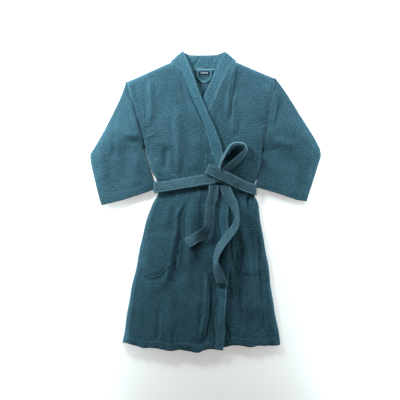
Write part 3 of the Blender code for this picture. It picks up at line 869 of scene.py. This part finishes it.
# Where each tail starts to bend as it leaves the knot, and over how long a stretch. A strap named here is
# baked in place instead of being attached to a body.
TAIL_HINGE = {"short_tail": (0.030, 0.057), "long_tail": (0.077, 0.057)}


def declare_strap(item, node, body):
    """Hides a strap's CAD part, then bakes the strap in place if it is a tail, or attaches it to its body.
    A made-up strap is one flat sheet of its finished width.
    """
    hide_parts(node)
    if body in TAIL_HINGE:
        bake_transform(item)
    else:
        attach(item, body)


def band_object(name, node, corners, end_rise, count, creases=(), free_rise=0.0, stitched=BOTH_EDGES):
    """A collar band: a folded strip from the shoulder down a front's free edge to the hem. Its corners
    are its edge's and its seam's ends at the shoulder, then its seam's and its edge's ends at the hem."""
    peak, top, seam_hem, edge_hem = corners
    low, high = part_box(node)
    middle = (low.z + high.z) / 2
    loop = plate(node)
    edge = resample(stretch(loop, peak, edge_hem), count, 2)
    seam = resample(stretch(loop, top, seam_hem), count, 2)
    centre2, width = (edge + seam) / 2, np.linalg.norm(edge - seam, axis=1)
    s = lengths(centre2, 2)
    z = middle - end_rise * (1 - rounded(s / 0.05)) + 0.0004 - 0.0035 * smoothstep((s - s[-1] + 0.16) / 0.16)
    z -= 0.0022 * cinch(centre2)
    z += 0.0008 * ripple(centre2, 0.09, 31) + 0.0016 * smoothstep((s - s[-1] + 0.08) / 0.08) * np.sin(s * 40)
    centre = np.column_stack([centre2, z])
    tilt = free_rise * (1 - cinch(centre2)) * smoothstep(s / 0.12) * smoothstep((s[-1] - s) / 0.05)
    across = np.column_stack([edge - seam, tilt * width])
    back = centre[0] - centre[3]
    back[2] = 0
    back /= np.linalg.norm(back)
    turn = np.array([centre[0] - back * 0.006 + UP * -0.0058, centre[0] + back * 0.0008 + UP * -0.0062,
                     centre[0] + back * 0.0022 + UP * -0.0032])
    centre = np.vstack([turn, centre])
    across = np.vstack([across[:1]] * 3 + [across])
    width = np.concatenate([width[:1]] * 3 + [width])
    item = strap_object(name, centre, across, width, BAND, COLLAR_CLOTH, seed=41, puff=0.0006,
                        creases=creases, stitched=stitched)
    declare_strap(item, node, "robe")


RIGHT_BAND_FOLDS = (
    (((0.058, -0.312), (0.066, -0.325), (0.078, -0.330)), -0.0014, 0.007, 0.0),
    (((0.050, -0.300), (0.064, -0.310), (0.082, -0.306)), 0.0018, 0.007, 0.0),
    (((0.070, -0.360), (0.062, -0.440), (0.050, -0.540)), 0.0012, 0.012, 0.0),
)
band_object("right_band", "right_front_band",
            ((-0.083, 0.569), (-0.130, 0.529), (0.025, -0.562), (0.067, -0.560)),
            0.0075, 300, RIGHT_BAND_FOLDS, 0.21)
band_object("left_band", "left_front_band",
            ((0.074, 0.567), (0.114, 0.530), (-0.069, -0.550), (-0.114, -0.550)),
            0.0045, 260, stitched=(-STITCH_AT, -0.60, STITCH_AT))

collar_points = curve([(-0.086, 0.540, 0.0090), (-0.066, 0.5325, 0.0070), (-0.040, 0.5310, 0.0062),
                       (-0.006, 0.5308, 0.0060), (0.030, 0.5315, 0.0062), (0.050, 0.5335, 0.0070),
                       (0.066, 0.5395, 0.0080), (0.080, 0.5450, 0.0085)], 60)
COLLAR_FOLDS = (
    (((-0.018, 0.556), (-0.034, 0.532), (-0.060, 0.512)), -0.0026, 0.0045, 0.4),
    (((-0.004, 0.558), (-0.020, 0.540), (-0.030, 0.524)), 0.0012, 0.006, 0.0),
    (((0.034, 0.552), (0.026, 0.530), (0.030, 0.512)), -0.0012, 0.008, 0.0),
)
back_collar = strap_object("back_collar", collar_points, np.tile((0.0, 0.998, 0.060), (60, 1)), 0.050, BAND,
                           COLLAR_CLOTH, seed=51, puff=0.0004, creases=COLLAR_FOLDS)
declare_strap(back_collar, "back_neck_collar", "robe")


# ---------------------------------------------------------------- neck tape, label and hanging loop

def box_middle(node):
    low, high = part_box(node)
    return (low + high) / 2, high - low


def level_strap(name, line, width, thickness, material, seed, waves=0.0001):
    """A strap that runs across the robe and lies level."""
    return strap_object(name, line, np.tile((0.0, 1.0, 0.0), (len(line), 1)), width, thickness, material,
                        waves=waves, seed=seed)


POINTS_ACROSS = 40
middle, extent = box_middle("back_neck_tape")
tape_line = np.column_stack([np.linspace(middle.x - extent.x / 2, middle.x + extent.x / 2, POINTS_ACROSS),
                             middle.y + 0.0004 * np.sin(np.linspace(0, 9, POINTS_ACROSS)),
                             np.full(POINTS_ACROSS, middle.z + 0.0012)])
neck_tape = level_strap("neck_tape", tape_line, extent.y, extent.z, TAPE_COTTON, 61)
declare_strap(neck_tape, "back_neck_tape", "robe")

middle, extent = box_middle("neck_label")
label_z = middle.z + 0.0003 + 0.0003 * np.sin(np.linspace(0.3, 6, POINTS_ACROSS))
label_line = np.column_stack([np.linspace(middle.x - extent.x / 2, middle.x + extent.x / 2, POINTS_ACROSS),
                              np.full(POINTS_ACROSS, middle.y), label_z])
label = level_strap("label", label_line, extent.y, extent.z, LABEL_SATIN, 62)
declare_strap(label, "neck_label", "robe")

# A plain bar of pale thread on the label.
bar_line = label_line[(label_line[:, 0] > middle.x - 0.013) & (label_line[:, 0] < middle.x + 0.013)]
bar_line = bar_line + (0.0, 0.002, extent.z / 2 + 0.0001)
label_bar = level_strap("label_bar", bar_line, 0.0022, 0.0005, PALE_THREAD, 63, waves=0.0)
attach(label_bar, "robe")

low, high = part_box("hanging_loop")
loop_tape = 0.006
centre_x, radius = (low.x + high.x) / 2, (high.x - low.x) / 2 - loop_tape / 2
turn_y = low.y + loop_tape / 2 + radius
angles = np.linspace(math.pi, 2 * math.pi, 40)
arc = np.column_stack([centre_x + radius * np.cos(angles), turn_y + radius * np.sin(angles)])
arms = np.linspace(high.y - 0.001, turn_y, 14)[:-1]
u_line = np.vstack([np.column_stack([np.full_like(arms, centre_x - radius), arms]), arc,
                    np.column_stack([np.full_like(arms, centre_x + radius), arms[::-1]])])
u_z = (low.z + high.z) / 2 + 0.0006 + 0.0010 * smoothstep((high.y - u_line[:, 1]) / 0.05)
u_line = np.column_stack([u_line, u_z])
u_across = np.cross(np.gradient(u_line, axis=0), UP)
hanger = strap_object("hanger", u_line, u_across, loop_tape, 0.0026, LOOP_COTTON, waves=0.0002, seed=64)
declare_strap(hanger, "hanging_loop", "hanging_loop")


# ---------------------------------------------------------------- sleeves

RIGHT_SLEEVE_FOLDS = (
    (((-0.500, 0.170), (-0.330, 0.240), (-0.160, 0.275)), 0.0036, 0.060, 0.0),
    (((-0.286, 0.400), (-0.270, 0.330), (-0.252, 0.262)), 0.0026, 0.014, 0.0),
    (((-0.318, 0.250), (-0.285, 0.243), (-0.244, 0.246)), 0.0030, 0.014, 0.6),
    (((-0.352, 0.270), (-0.347, 0.220), (-0.352, 0.150)), -0.0026, 0.010, 0.2),
    (((-0.398, 0.200), (-0.390, 0.140), (-0.378, 0.080)), 0.0028, 0.018, 0.0),
    (((-0.300, 0.230), (-0.306, 0.150), (-0.300, 0.060)), -0.0022, 0.024, 0.0),
    (((-0.246, 0.196), (-0.262, 0.120), (-0.262, 0.052)), 0.0020, 0.018, 0.0),
    (((-0.334, 0.350), (-0.346, 0.300), (-0.352, 0.280)), -0.0016, 0.012, 0.0),
    (((-0.236, 0.214), (-0.262, 0.226), (-0.292, 0.216)), -0.0018, 0.008, 0.0),
)
LEFT_SLEEVE_FOLDS = (
    (((0.500, 0.180), (0.330, 0.232), (0.160, 0.255)), 0.0036, 0.060, 0.0),
    (((0.268, 0.430), (0.252, 0.350), (0.238, 0.280)), 0.0028, 0.010, 0.0),
    (((0.284, 0.400), (0.268, 0.330), (0.256, 0.262)), -0.0026, 0.012, 0.0),
    (((0.246, 0.234), (0.290, 0.236), (0.350, 0.214)), 0.0030, 0.020, -0.7),
    (((0.330, 0.320), (0.356, 0.270), (0.372, 0.220)), 0.0020, 0.022, 0.0),
    (((0.236, 0.182), (0.256, 0.196), (0.286, 0.200)), -0.0024, 0.009, 0.3),
    (((0.262, 0.150), (0.272, 0.100), (0.292, 0.050)), 0.0018, 0.020, 0.0),
    (((0.330, 0.180), (0.340, 0.110), (0.346, 0.040)), -0.0020, 0.022, 0.0),
    (((0.400, 0.210), (0.392, 0.150), (0.378, 0.060)), 0.0022, 0.016, 0.0),
)
SLEEVE_ACROSS, SLEEVE_ALONG = 46, 92
CUFF_HEM = 0.030
SLEEVE_EDGE_Z = 0.0062
SLEEVE_EASE = 1.02


def sleeve_object(name, node, corners, rows_of_folds, seed, towards_body):
    """A sleeve as a flattened tube: its corners are the shoulder, the armpit, and the cuff's outer
    and inner ends."""
    shoulder, armpit, cuff_outer, cuff_inner = corners
    loop = outline(node)
    over = stretch(loop, shoulder, cuff_outer)
    under = stretch(loop, armpit, cuff_inner)
    hole = np.array([over[0], under[0]])
    cuff = stretch(loop, cuff_outer, cuff_inner)
    flat = patch(over, under, hole, cuff, SLEEVE_ALONG, SLEEVE_ACROSS)
    along, across = np.linspace(0, 1, SLEEVE_ALONG)[:, None], np.linspace(0, 1, SLEEVE_ACROSS)
    flat[..., 0] += towards_body * along ** 0.8 * across ** 2
    under, cuff = flat[:, -1], flat[-1]
    inward = (np.array(armpit) + np.array(shoulder)) / 2 - flat[SLEEVE_ALONG // 2].mean(0)
    inward /= np.linalg.norm(inward)

    # One more row tucks in under the front, and the columns crowd towards the two edges.
    flat = np.concatenate([flat[:1] + inward * 0.005, flat])
    count = len(flat)
    even = np.linspace(-1, 1, SLEEVE_ACROSS)
    crowded = np.sign(even) * (1 - (1 - np.abs(even)) ** 1.7)
    for r in range(count):
        flat[r] = np.stack([np.interp(crowded, even, column) for column in flat[r].T], axis=1)
    xy = flat.reshape(-1, 2)
    from_edge = np.minimum(nearest(xy, over)[0], nearest(xy, under)[0])
    from_cuff, cuff_t, _ = nearest(xy, cuff)
    from_hole = nearest(xy, hole)[0]
    high = top_of(node) - CLOTH / 2
    top = high - 0.0006 - 0.0040 * smoothstep(1 - from_cuff / 0.16)
    top += 0.0010 * ripple(xy, 0.09, seed) + folds(xy, rows_of_folds)
    top += 0.0004 * ripple(xy, 0.040, seed + 2)
    top += 0.0012 * smoothstep((CUFF_HEM + 0.0015 - from_cuff) / 0.003)
    top -= 0.0007 * np.exp(-((from_cuff - CUFF_HEM) / 0.002) ** 2)
    top += 0.0012 * np.exp(-(from_cuff / 0.03) ** 2) * np.sin(cuff_t * 15 + seed)
    top -= 0.0022 * np.exp(-(from_hole / 0.0045) ** 2)
    top += 0.0012 * np.exp(-((from_hole - 0.012) / 0.006) ** 2)
    top = SLEEVE_EDGE_Z + (top - SLEEVE_EDGE_Z) * rounded(from_edge / 0.060)
    bottom = 0.0013 + 0.0003 * np.abs(ripple(xy, 0.06, seed + 5))
    bottom = SLEEVE_EDGE_Z + (bottom - SLEEVE_EDGE_Z) * rounded(from_edge / 0.012)
    top, bottom = top.reshape(flat.shape[:2]), bottom.reshape(flat.shape[:2])
    top[0] -= 0.0010
    upper = np.dstack([flat, top])
    lower = np.dstack([flat, bottom])
    rings = np.concatenate([upper, lower[:, -2:0:-1]], axis=1)
    centre = flat.mean(1)
    ring_cut = lengths(rings[count // 2])
    ring_cut = np.append(ring_cut, ring_cut[-1] + 0.003)
    item = skin_object(name, rings, ring_cut, lengths(centre, 2), ROBE_CLOTH, caps=False)
    thicken(item, CLOTH)
    normal = grid_normals(upper)
    column = np.arange(1.0, SLEEVE_ACROSS - 2, 0.25)
    step = np.mean(np.linalg.norm(np.diff(centre[-10:], axis=0), axis=1))
    points, normals = on_grid(upper, normal, np.full(len(column), count - 1 - CUFF_HEM / step), column)
    add_stitches(item, [(points + normals * (CLOTH / 2 + 0.0001), normals)], cotton=TONAL_THREAD)
    cut = 2 * max(np.linalg.norm(flat[:, 0] - flat[:, -1], axis=1))
    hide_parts(node)
    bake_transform(item)
    length = lengths(over, 2)[-1]
    float(min(2 * flat_cut(flat)[1] * SLEEVE_EASE, cut * length))


sleeve_object("right_sleeve_cloth", "right_sleeve",
              ((-0.3015, 0.4525), (-0.2325, 0.2035), (-0.400, -0.002), (-0.1925, 0.0495)),
              RIGHT_SLEEVE_FOLDS, 71, 0.0045)
sleeve_object("left_sleeve_cloth", "left_sleeve",
              ((0.2665, 0.4655), (0.2195, 0.1895), (0.387, 0.010), (0.209, 0.055)),
              LEFT_SLEEVE_FOLDS, 75, -0.0190)


# ---------------------------------------------------------------- pockets

def tree_of(points, faces):
    return BVHTree.FromPolygons([tuple(p) for p in points], [tuple(int(i) for i in f) for f in faces])


def drop(tree, xy, fallback):
    """Heights of a surface below each point."""
    heights = []
    for x, y in xy:
        hit = tree.ray_cast(Vector((x, y, 1.0)), Vector((0, 0, -1)))[0]
        heights.append(hit.z if hit else fallback)
    return np.array(heights)


POCKET_CLOTH = 0.0018
POCKET_POINTS = 150
MOUTH_HEM = 0.0315


def pocket_object(name, node, grid, mouth, seed, puff):
    """A patch pocket laid on its front: a puffed patch with a sewn border and an open, hemmed mouth."""
    mouth = np.array(mouth)
    loop = outline(node)
    start = int(np.argmin(np.hypot(*(loop - mouth[0]).T)))
    loop = np.roll(loop, -start, axis=0)
    rim = resample(np.vstack([loop, loop[:1]]), POCKET_POINTS + 1, 2)[:-1]
    heart = (rim.min(0) + rim.max(0)) / 2
    shares = 1 - np.concatenate([[0.0, 0.012, 0.03], np.linspace(0.055, 1.0, 26)])
    flat = heart + (rim - heart)[None] * shares[:, None, None]
    xy = flat.reshape(-1, 2)
    rows, columns = grid.shape[:2]
    front = tree_of(grid.reshape(-1, 3), grid_faces(rows, columns))
    base = drop(front, xy, grid[..., 2].mean()) + CLOTH / 2
    from_mouth = nearest(xy, mouth)[0]
    sewn = nearest(xy, np.vstack([rim, rim[:1]]))[0]
    height = (0.0013 if puff > 0.001 else 0.0006) + puff * smoothstep(sewn / 0.022)
    open_lip = np.exp(-(from_mouth / 0.018) ** 2)
    height += 0.0009 * open_lip * smoothstep(sewn / 0.004 + 0.5)
    height += 0.0003 * smoothstep((MOUTH_HEM - from_mouth) / 0.003)
    height += 0.0006 * ripple(xy, 0.05, seed) * smoothstep(sewn / 0.02)
    height -= 0.0005 * np.exp(-((sewn - 0.0055) / 0.0016) ** 2)
    z = base + height
    rings = np.column_stack([xy, z]).reshape(len(shares), POCKET_POINTS, 3)

    # The innermost ring closes to a single point.
    count = len(shares) - 1
    points = np.vstack([rings[:count].reshape(-1, 3), rings[count].mean(0)[None]])
    last = (count - 1) * POCKET_POINTS
    faces = [tuple(f) for f in grid_faces(count, POCKET_POINTS, wrap=True)]
    faces += [(last + i, count * POCKET_POINTS, last + (i + 1) % POCKET_POINTS) for i in range(POCKET_POINTS)]
    corner = np.array([i for f in faces for i in f])
    item = new_object(name, points, faces, points[corner][:, :2], ROBE_CLOTH)
    thicken(item, POCKET_CLOTH)

    # One row of stitches round the sewn sides, and one across the mouth's hem.
    inner = rings[3]
    order = np.flatnonzero(nearest(inner[:, :2], mouth)[0] > 0.010)
    gap = int(np.argmax(np.diff(np.append(order, order[0] + POCKET_POINTS))))
    sides = inner[np.roll(order, -(gap + 1))] + UP * 0.0010
    xs = np.linspace(rim[:, 0].min() + 0.008, rim[:, 0].max() - 0.008, 60)
    direction = (mouth[1] - mouth[0]) / np.linalg.norm(mouth[1] - mouth[0])
    below = mouth[0] + direction * (xs - mouth[0][0])[:, None] / direction[0] + (0, -MOUTH_HEM)
    hem = np.column_stack([below, drop(tree_of(points, faces), below, z.mean()) + 0.0010])
    add_stitches(item, [(row, np.tile(UP, (len(row), 1))) for row in (sides, hem)], cotton=TONAL_THREAD)
    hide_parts(node)
    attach(item, "robe")


pocket_object("right_patch", "right_pocket", right_grid, ((-0.226, -0.114), (-0.097, -0.114)), 81, 0.0034)
pocket_object("left_patch", "left_pocket", left_grid, ((0.100, -0.102), (0.204, -0.102)), 85, 0.0004)


# ---------------------------------------------------------------- belt


def belt_piece(name, node, points, across, width, seed, count=120, waves=0.0006, puff=0.0):
    """A stretch of belt through control points (x, y, z), with the direction across it at each."""
    both = curve([(*p, *a) for p, a in zip(points, across)], count)
    centre, side = both[:, :3], both[:, 3:6]
    item = strap_object(name, centre, side, width, STRAP, BELT_CLOTH, waves=waves, seed=seed, puff=puff)
    declare_strap(item, node, "robe")


low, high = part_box("belt_back_run")
back_points = ((low.x + 0.002, high.y - 0.021, 0.0017), (0.0, BELT_Y, 0.0017),
               (high.x - 0.002, low.y + 0.021, 0.0017))
belt_piece("belt_behind", "belt_back_run", back_points, [(0, 1, 0)] * 3, 0.0415, 91, waves=0.0)

# From the right side fold to the knot.
run_across = (-0.152, 0.970, -0.190)
right_run_points = ((-0.181, 0.0550, 0.0052), (-0.1895, 0.0548, 0.0078), (-0.1950, 0.0545, 0.0135),
                    (-0.1925, 0.0545, 0.0200), (-0.1830, 0.0552, 0.0242), (-0.168, 0.0568, 0.0252),
                    (-0.130, 0.0630, 0.0250), (-0.090, 0.0695, 0.0248), (-0.045, 0.0768, 0.0256),
                    (-0.010, 0.0825, 0.0272), (0.016, 0.0865, 0.0286), (0.034, 0.0890, 0.0290))
belt_piece("belt_right", "belt_right_run", right_run_points,
           [(-0.03, 1, 0)] * 3 + [(-0.08, 1, 0)] * 2 + [run_across] * 7, 0.0415, 92, puff=0.0005)

# Out of the knot, over it and down to the left side fold.
strap_across = (0.425, 0.893, 0.150)
left_run_points = ((0.056, 0.0980, 0.0285), (0.032, 0.1115, 0.0290), (0.0150, 0.1200, 0.0300),
                   (0.0070, 0.1240, 0.0345), (0.0130, 0.1225, 0.0392), (0.030, 0.1145, 0.0418),
                   (0.062, 0.1000, 0.0418), (0.098, 0.0830, 0.0372), (0.138, 0.0640, 0.0292),
                   (0.164, 0.0530, 0.0252), (0.1790, 0.0480, 0.0232), (0.1885, 0.0455, 0.0185),
                   (0.1910, 0.0450, 0.0120), (0.1880, 0.0455, 0.0070), (0.1820, 0.0460, 0.0050))
side_across = [(0.36, 0.93, 0), (0.26, 0.96, 0), (0.14, 0.99, 0), (0.06, 1, 0), (0.03, 1, 0), (0.03, 1, 0)]
belt_piece("belt_left", "belt_left_run", left_run_points, [strap_across] * 9 + side_across,
           0.0405, 93, count=170, puff=0.0006)


def across_of(line):
    """The level direction to the right of a line at each of its points."""
    along = np.gradient(line[:, :2], axis=0)
    along /= np.linalg.norm(along, axis=1, keepdims=True)
    return np.column_stack([along[:, 1], -along[:, 0], np.zeros(len(line))])


def tail_object(name, node, stations, seed, creases=()):
    """A free end of the belt through stations: x, y, its lean in degrees, its width and its lift."""
    line = curve([(x, y, 0.0, lean, width, up) for x, y, lean, width, up in stations], 120, 2)
    lean = np.radians(line[:, 3])
    width = line[:, 4]
    across = across_of(line) * np.cos(lean)[:, None] + UP * np.sin(lean)[:, None]
    height = BELT_LOW + width / 2 * np.abs(np.sin(lean)) + STRAP / 2 * np.cos(lean) + line[:, 5]
    centre = np.column_stack([line[:, :2], height])
    item = strap_object(name, centre, across, width, STRAP, BELT_CLOTH, waves=0.0008, seed=seed,
                        puff=0.0006, creases=creases)
    declare_strap(item, node, node)


SHORT_STATIONS = (
    (0.0320, 0.0640, 4, 0.040, 0.0050), (0.0310, 0.0520, 6, 0.040, 0.0040),
    (0.0295, 0.032, 10, 0.041, 0.0030), (0.024, 0.010, 18, 0.042, 0.0020),
    (0.018, -0.014, 26, 0.042, 0.0020), (0.0145, -0.060, 36, 0.042, 0.0024),
    (0.009, -0.094, 42, 0.042, 0.0034), (-0.008, -0.119, 28, 0.042, 0.0060),
    (-0.038, -0.137, 0, 0.042, 0.0095), (-0.070, -0.155, -16, 0.043, 0.0100),
)
LONG_STATIONS = (
    (0.0720, 0.0640, 0, 0.040, 0.0040), (0.0755, 0.0500, -4, 0.041, 0.0030),
    (0.0810, 0.034, -8, 0.042, 0.0022), (0.0900, 0.016, -18, 0.042, 0.0014),
    (0.1085, -0.018, -46, 0.042, 0.0006), (0.1195, -0.052, -67, 0.042, 0.0004),
    (0.1150, -0.086, -56, 0.042, 0.0004), (0.0910, -0.122, -44, 0.042, 0.0004),
    (0.0600, -0.162, -47, 0.042, 0.0004), (0.0425, -0.200, -62, 0.042, 0.0004),
    (0.0385, -0.230, -66, 0.042, 0.0004), (0.0480, -0.262, -34, 0.042, 0.0010),
    (0.0600, -0.305, -20, 0.040, 0.0030),
)
TAIL_CREASE = ((((0.036, 0.066), (0.032, 0.024), (0.024, -0.030)), -0.0020, 0.0080, 0.0),
               (((0.044, 0.066), (0.042, 0.030), (0.034, -0.020)), 0.0012, 0.0075, 0.0))
tail_object("short_tail_strap", "short_tail", SHORT_STATIONS, 101, TAIL_CREASE)
tail_object("long_tail_strap", "long_tail", LONG_STATIONS, 105)

# The bow: x, y, and how far the strap's top tips into the loop, in degrees.
BOW_STATIONS = ((0.060, 0.112, 40), (0.078, 0.124, 40), (0.098, 0.138, 38), (0.124, 0.160, 34),
                (0.146, 0.185, 26), (0.1525, 0.203, 16), (0.146, 0.2155, 10), (0.130, 0.222, 8),
                (0.110, 0.221, 8), (0.090, 0.207, 10), (0.072, 0.178, 12), (0.058, 0.150, 14),
                (0.052, 0.128, 20), (0.050, 0.112, 30))
BOW_WIDTH = 0.0395


def bow_object():
    """The bow's loop: a strap on its edge, narrower and higher where both its ends enter the knot."""
    bow = curve([(x, y, 0.0, tip) for x, y, tip in BOW_STATIONS], 150, 2)
    tip = np.radians(bow[:, 3])
    across = -across_of(bow) * np.sin(tip)[:, None] + UP * np.cos(tip)[:, None]
    along = lengths(bow, 2)
    root = smoothstep(np.minimum(along, along[-1] - along) / 0.045)
    width = BOW_WIDTH * (0.62 + 0.38 * root)
    height = BELT_LOW + 0.0065 * (1 - root) + width / 2 * np.cos(tip) + 0.0006
    line = np.column_stack([bow[:, :2], height])
    item = strap_object("bow_strap", line, across, width, STRAP, BELT_CLOTH, waves=0.0007, seed=111)
    declare_strap(item, "bow_loop", "bow_loop")


bow_object()


def knot_object():
    """The knot's wrap: a tight, creased turn of the belt under the strap that crosses it."""
    loop = outline("belt_knot")
    high_z = top_of("belt_knot")
    around, up = 72, 15
    rim = resample(np.vstack([loop, loop[:1]]), around + 1, 2)[:-1]
    heart = rim.mean(0)
    rings = []
    for k, angle in enumerate(np.linspace(-math.pi / 2, math.pi / 2, up)):
        share = max(math.cos(angle), 0.02) ** 0.6
        z = (BELT_LOW + high_z) / 2 + (high_z - BELT_LOW) / 2 * math.sin(angle)
        creases = 1 + 0.035 * np.sin(np.arange(around) / around * 2 * math.pi * 9 + 1.5 * k / up)
        ring = heart + (0.004, 0.005) + (rim - heart) * (0.80 * share * creases)[:, None]
        rings.append(np.column_stack([ring, np.full(around, z)]))
    item = skin_object("knot", np.array(rings), np.linspace(0, 0.2, around + 1), np.linspace(0, 0.04, up),
                       BELT_CLOTH)
    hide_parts("belt_knot")
    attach(item, "robe")


knot_object()


def loop_object(name, node, side, reach):
    """A belt loop: a narrow strip from the side seam round the outside of the belt.
    side is -1 on the wearer's right and 1 on the left; reach is how far out the strip goes."""
    low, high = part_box(node)
    x, out = (low.x + high.x) / 2, side * reach
    z = (low.z + high.z) / 2 + 0.002
    y0, y1 = low.y, high.y
    points = ((x - side * 0.006, y0, z), (x + out * 0.55, y0 - 0.0005, z), (x + out, y0 + 0.006, z),
              (x + out * 1.12, (y0 + y1) / 2, z), (x + out, y1 - 0.006, z), (x + out * 0.55, y1 + 0.0005, z),
              (x - side * 0.006, y1, z))
    line = curve(points, 60)
    item = strap_object(name, line, np.tile(UP, (60, 1)), 0.008, 0.0014, ROBE_CLOTH, waves=0.0, seed=121)
    declare_strap(item, node, "robe")


loop_object("right_carrier", "right_belt_loop", -1, 0.0135)
loop_object("left_carrier", "left_belt_loop", 1, 0.0085)


# ---------------------------------------------------------------- floor, light and camera

bpy.ops.mesh.primitive_plane_add(size=14.0, location=(0, 0, -0.0003))
floor = bpy.context.object
floor.name = "floor"
floor.data.materials.append(FLOOR_PAPER)


def area_light(name, place, target, width, length, energy, colour):
    data = bpy.data.lights.new(name, "AREA")
    data.shape = "RECTANGLE"
    data.size, data.size_y = width, length
    data.energy = energy
    data.color = colour
    item = bpy.data.objects.new(name, data)
    item.location = place
    item.rotation_euler = (Vector(target) - Vector(place)).to_track_quat("-Z", "Y").to_euler()
    item.visible_camera = False
    bpy.context.scene.collection.objects.link(item)


area_light("key", (-0.66, 0.80, 0.46), (0.0, 0.0, 0.0), 0.22, 0.22, 20.0, (0.82, 0.97, 1.0))
area_light("second", (0.46, 0.98, 0.42), (0.2, 0.2, 0.0), 0.50, 0.50, 13.0, (0.80, 0.97, 1.0))
area_light("left strip", (-0.84, -0.31, 0.20), (-0.84, -0.31, 0.0), 0.15, 1.1, 23.0, (0.74, 0.97, 1.0))
area_light("right strip", (0.84, -0.20, 0.20), (0.84, -0.20, 0.0), 0.15, 1.2, 18.0, (0.74, 0.97, 1.0))

world = bpy.data.worlds.new("studio")
bpy.context.scene.world = world
world.use_nodes = True
background = world.node_tree.nodes["Background"]
background.inputs["Color"].default_value = (1.0, 0.90, 0.87, 1.0)
background.inputs["Strength"].default_value = 0.08

scene = bpy.context.scene
scene.view_settings.view_transform = "Standard"
scene.view_settings.look = "None"
scene.view_settings.exposure = 0.0

# Straight down with a long lens; the picture is 1.52 m wide and its middle is a little off the robe's.
VIEW_WIDTH, VIEW_HEIGHT, VIEW_MIDDLE = 1.52, 4.2, (-0.0209, 0.0065)
camera_data = bpy.data.cameras.new("camera")
camera_data.sensor_width = 36.0
camera_data.lens = camera_data.sensor_width * VIEW_HEIGHT / VIEW_WIDTH
camera = bpy.data.objects.new("camera", camera_data)
middle = (cad_box[0] + cad_box[1]) / 2
camera.location = (middle.x + VIEW_MIDDLE[0], middle.y + VIEW_MIDDLE[1], VIEW_HEIGHT)
scene.collection.objects.link(camera)
scene.camera = camera
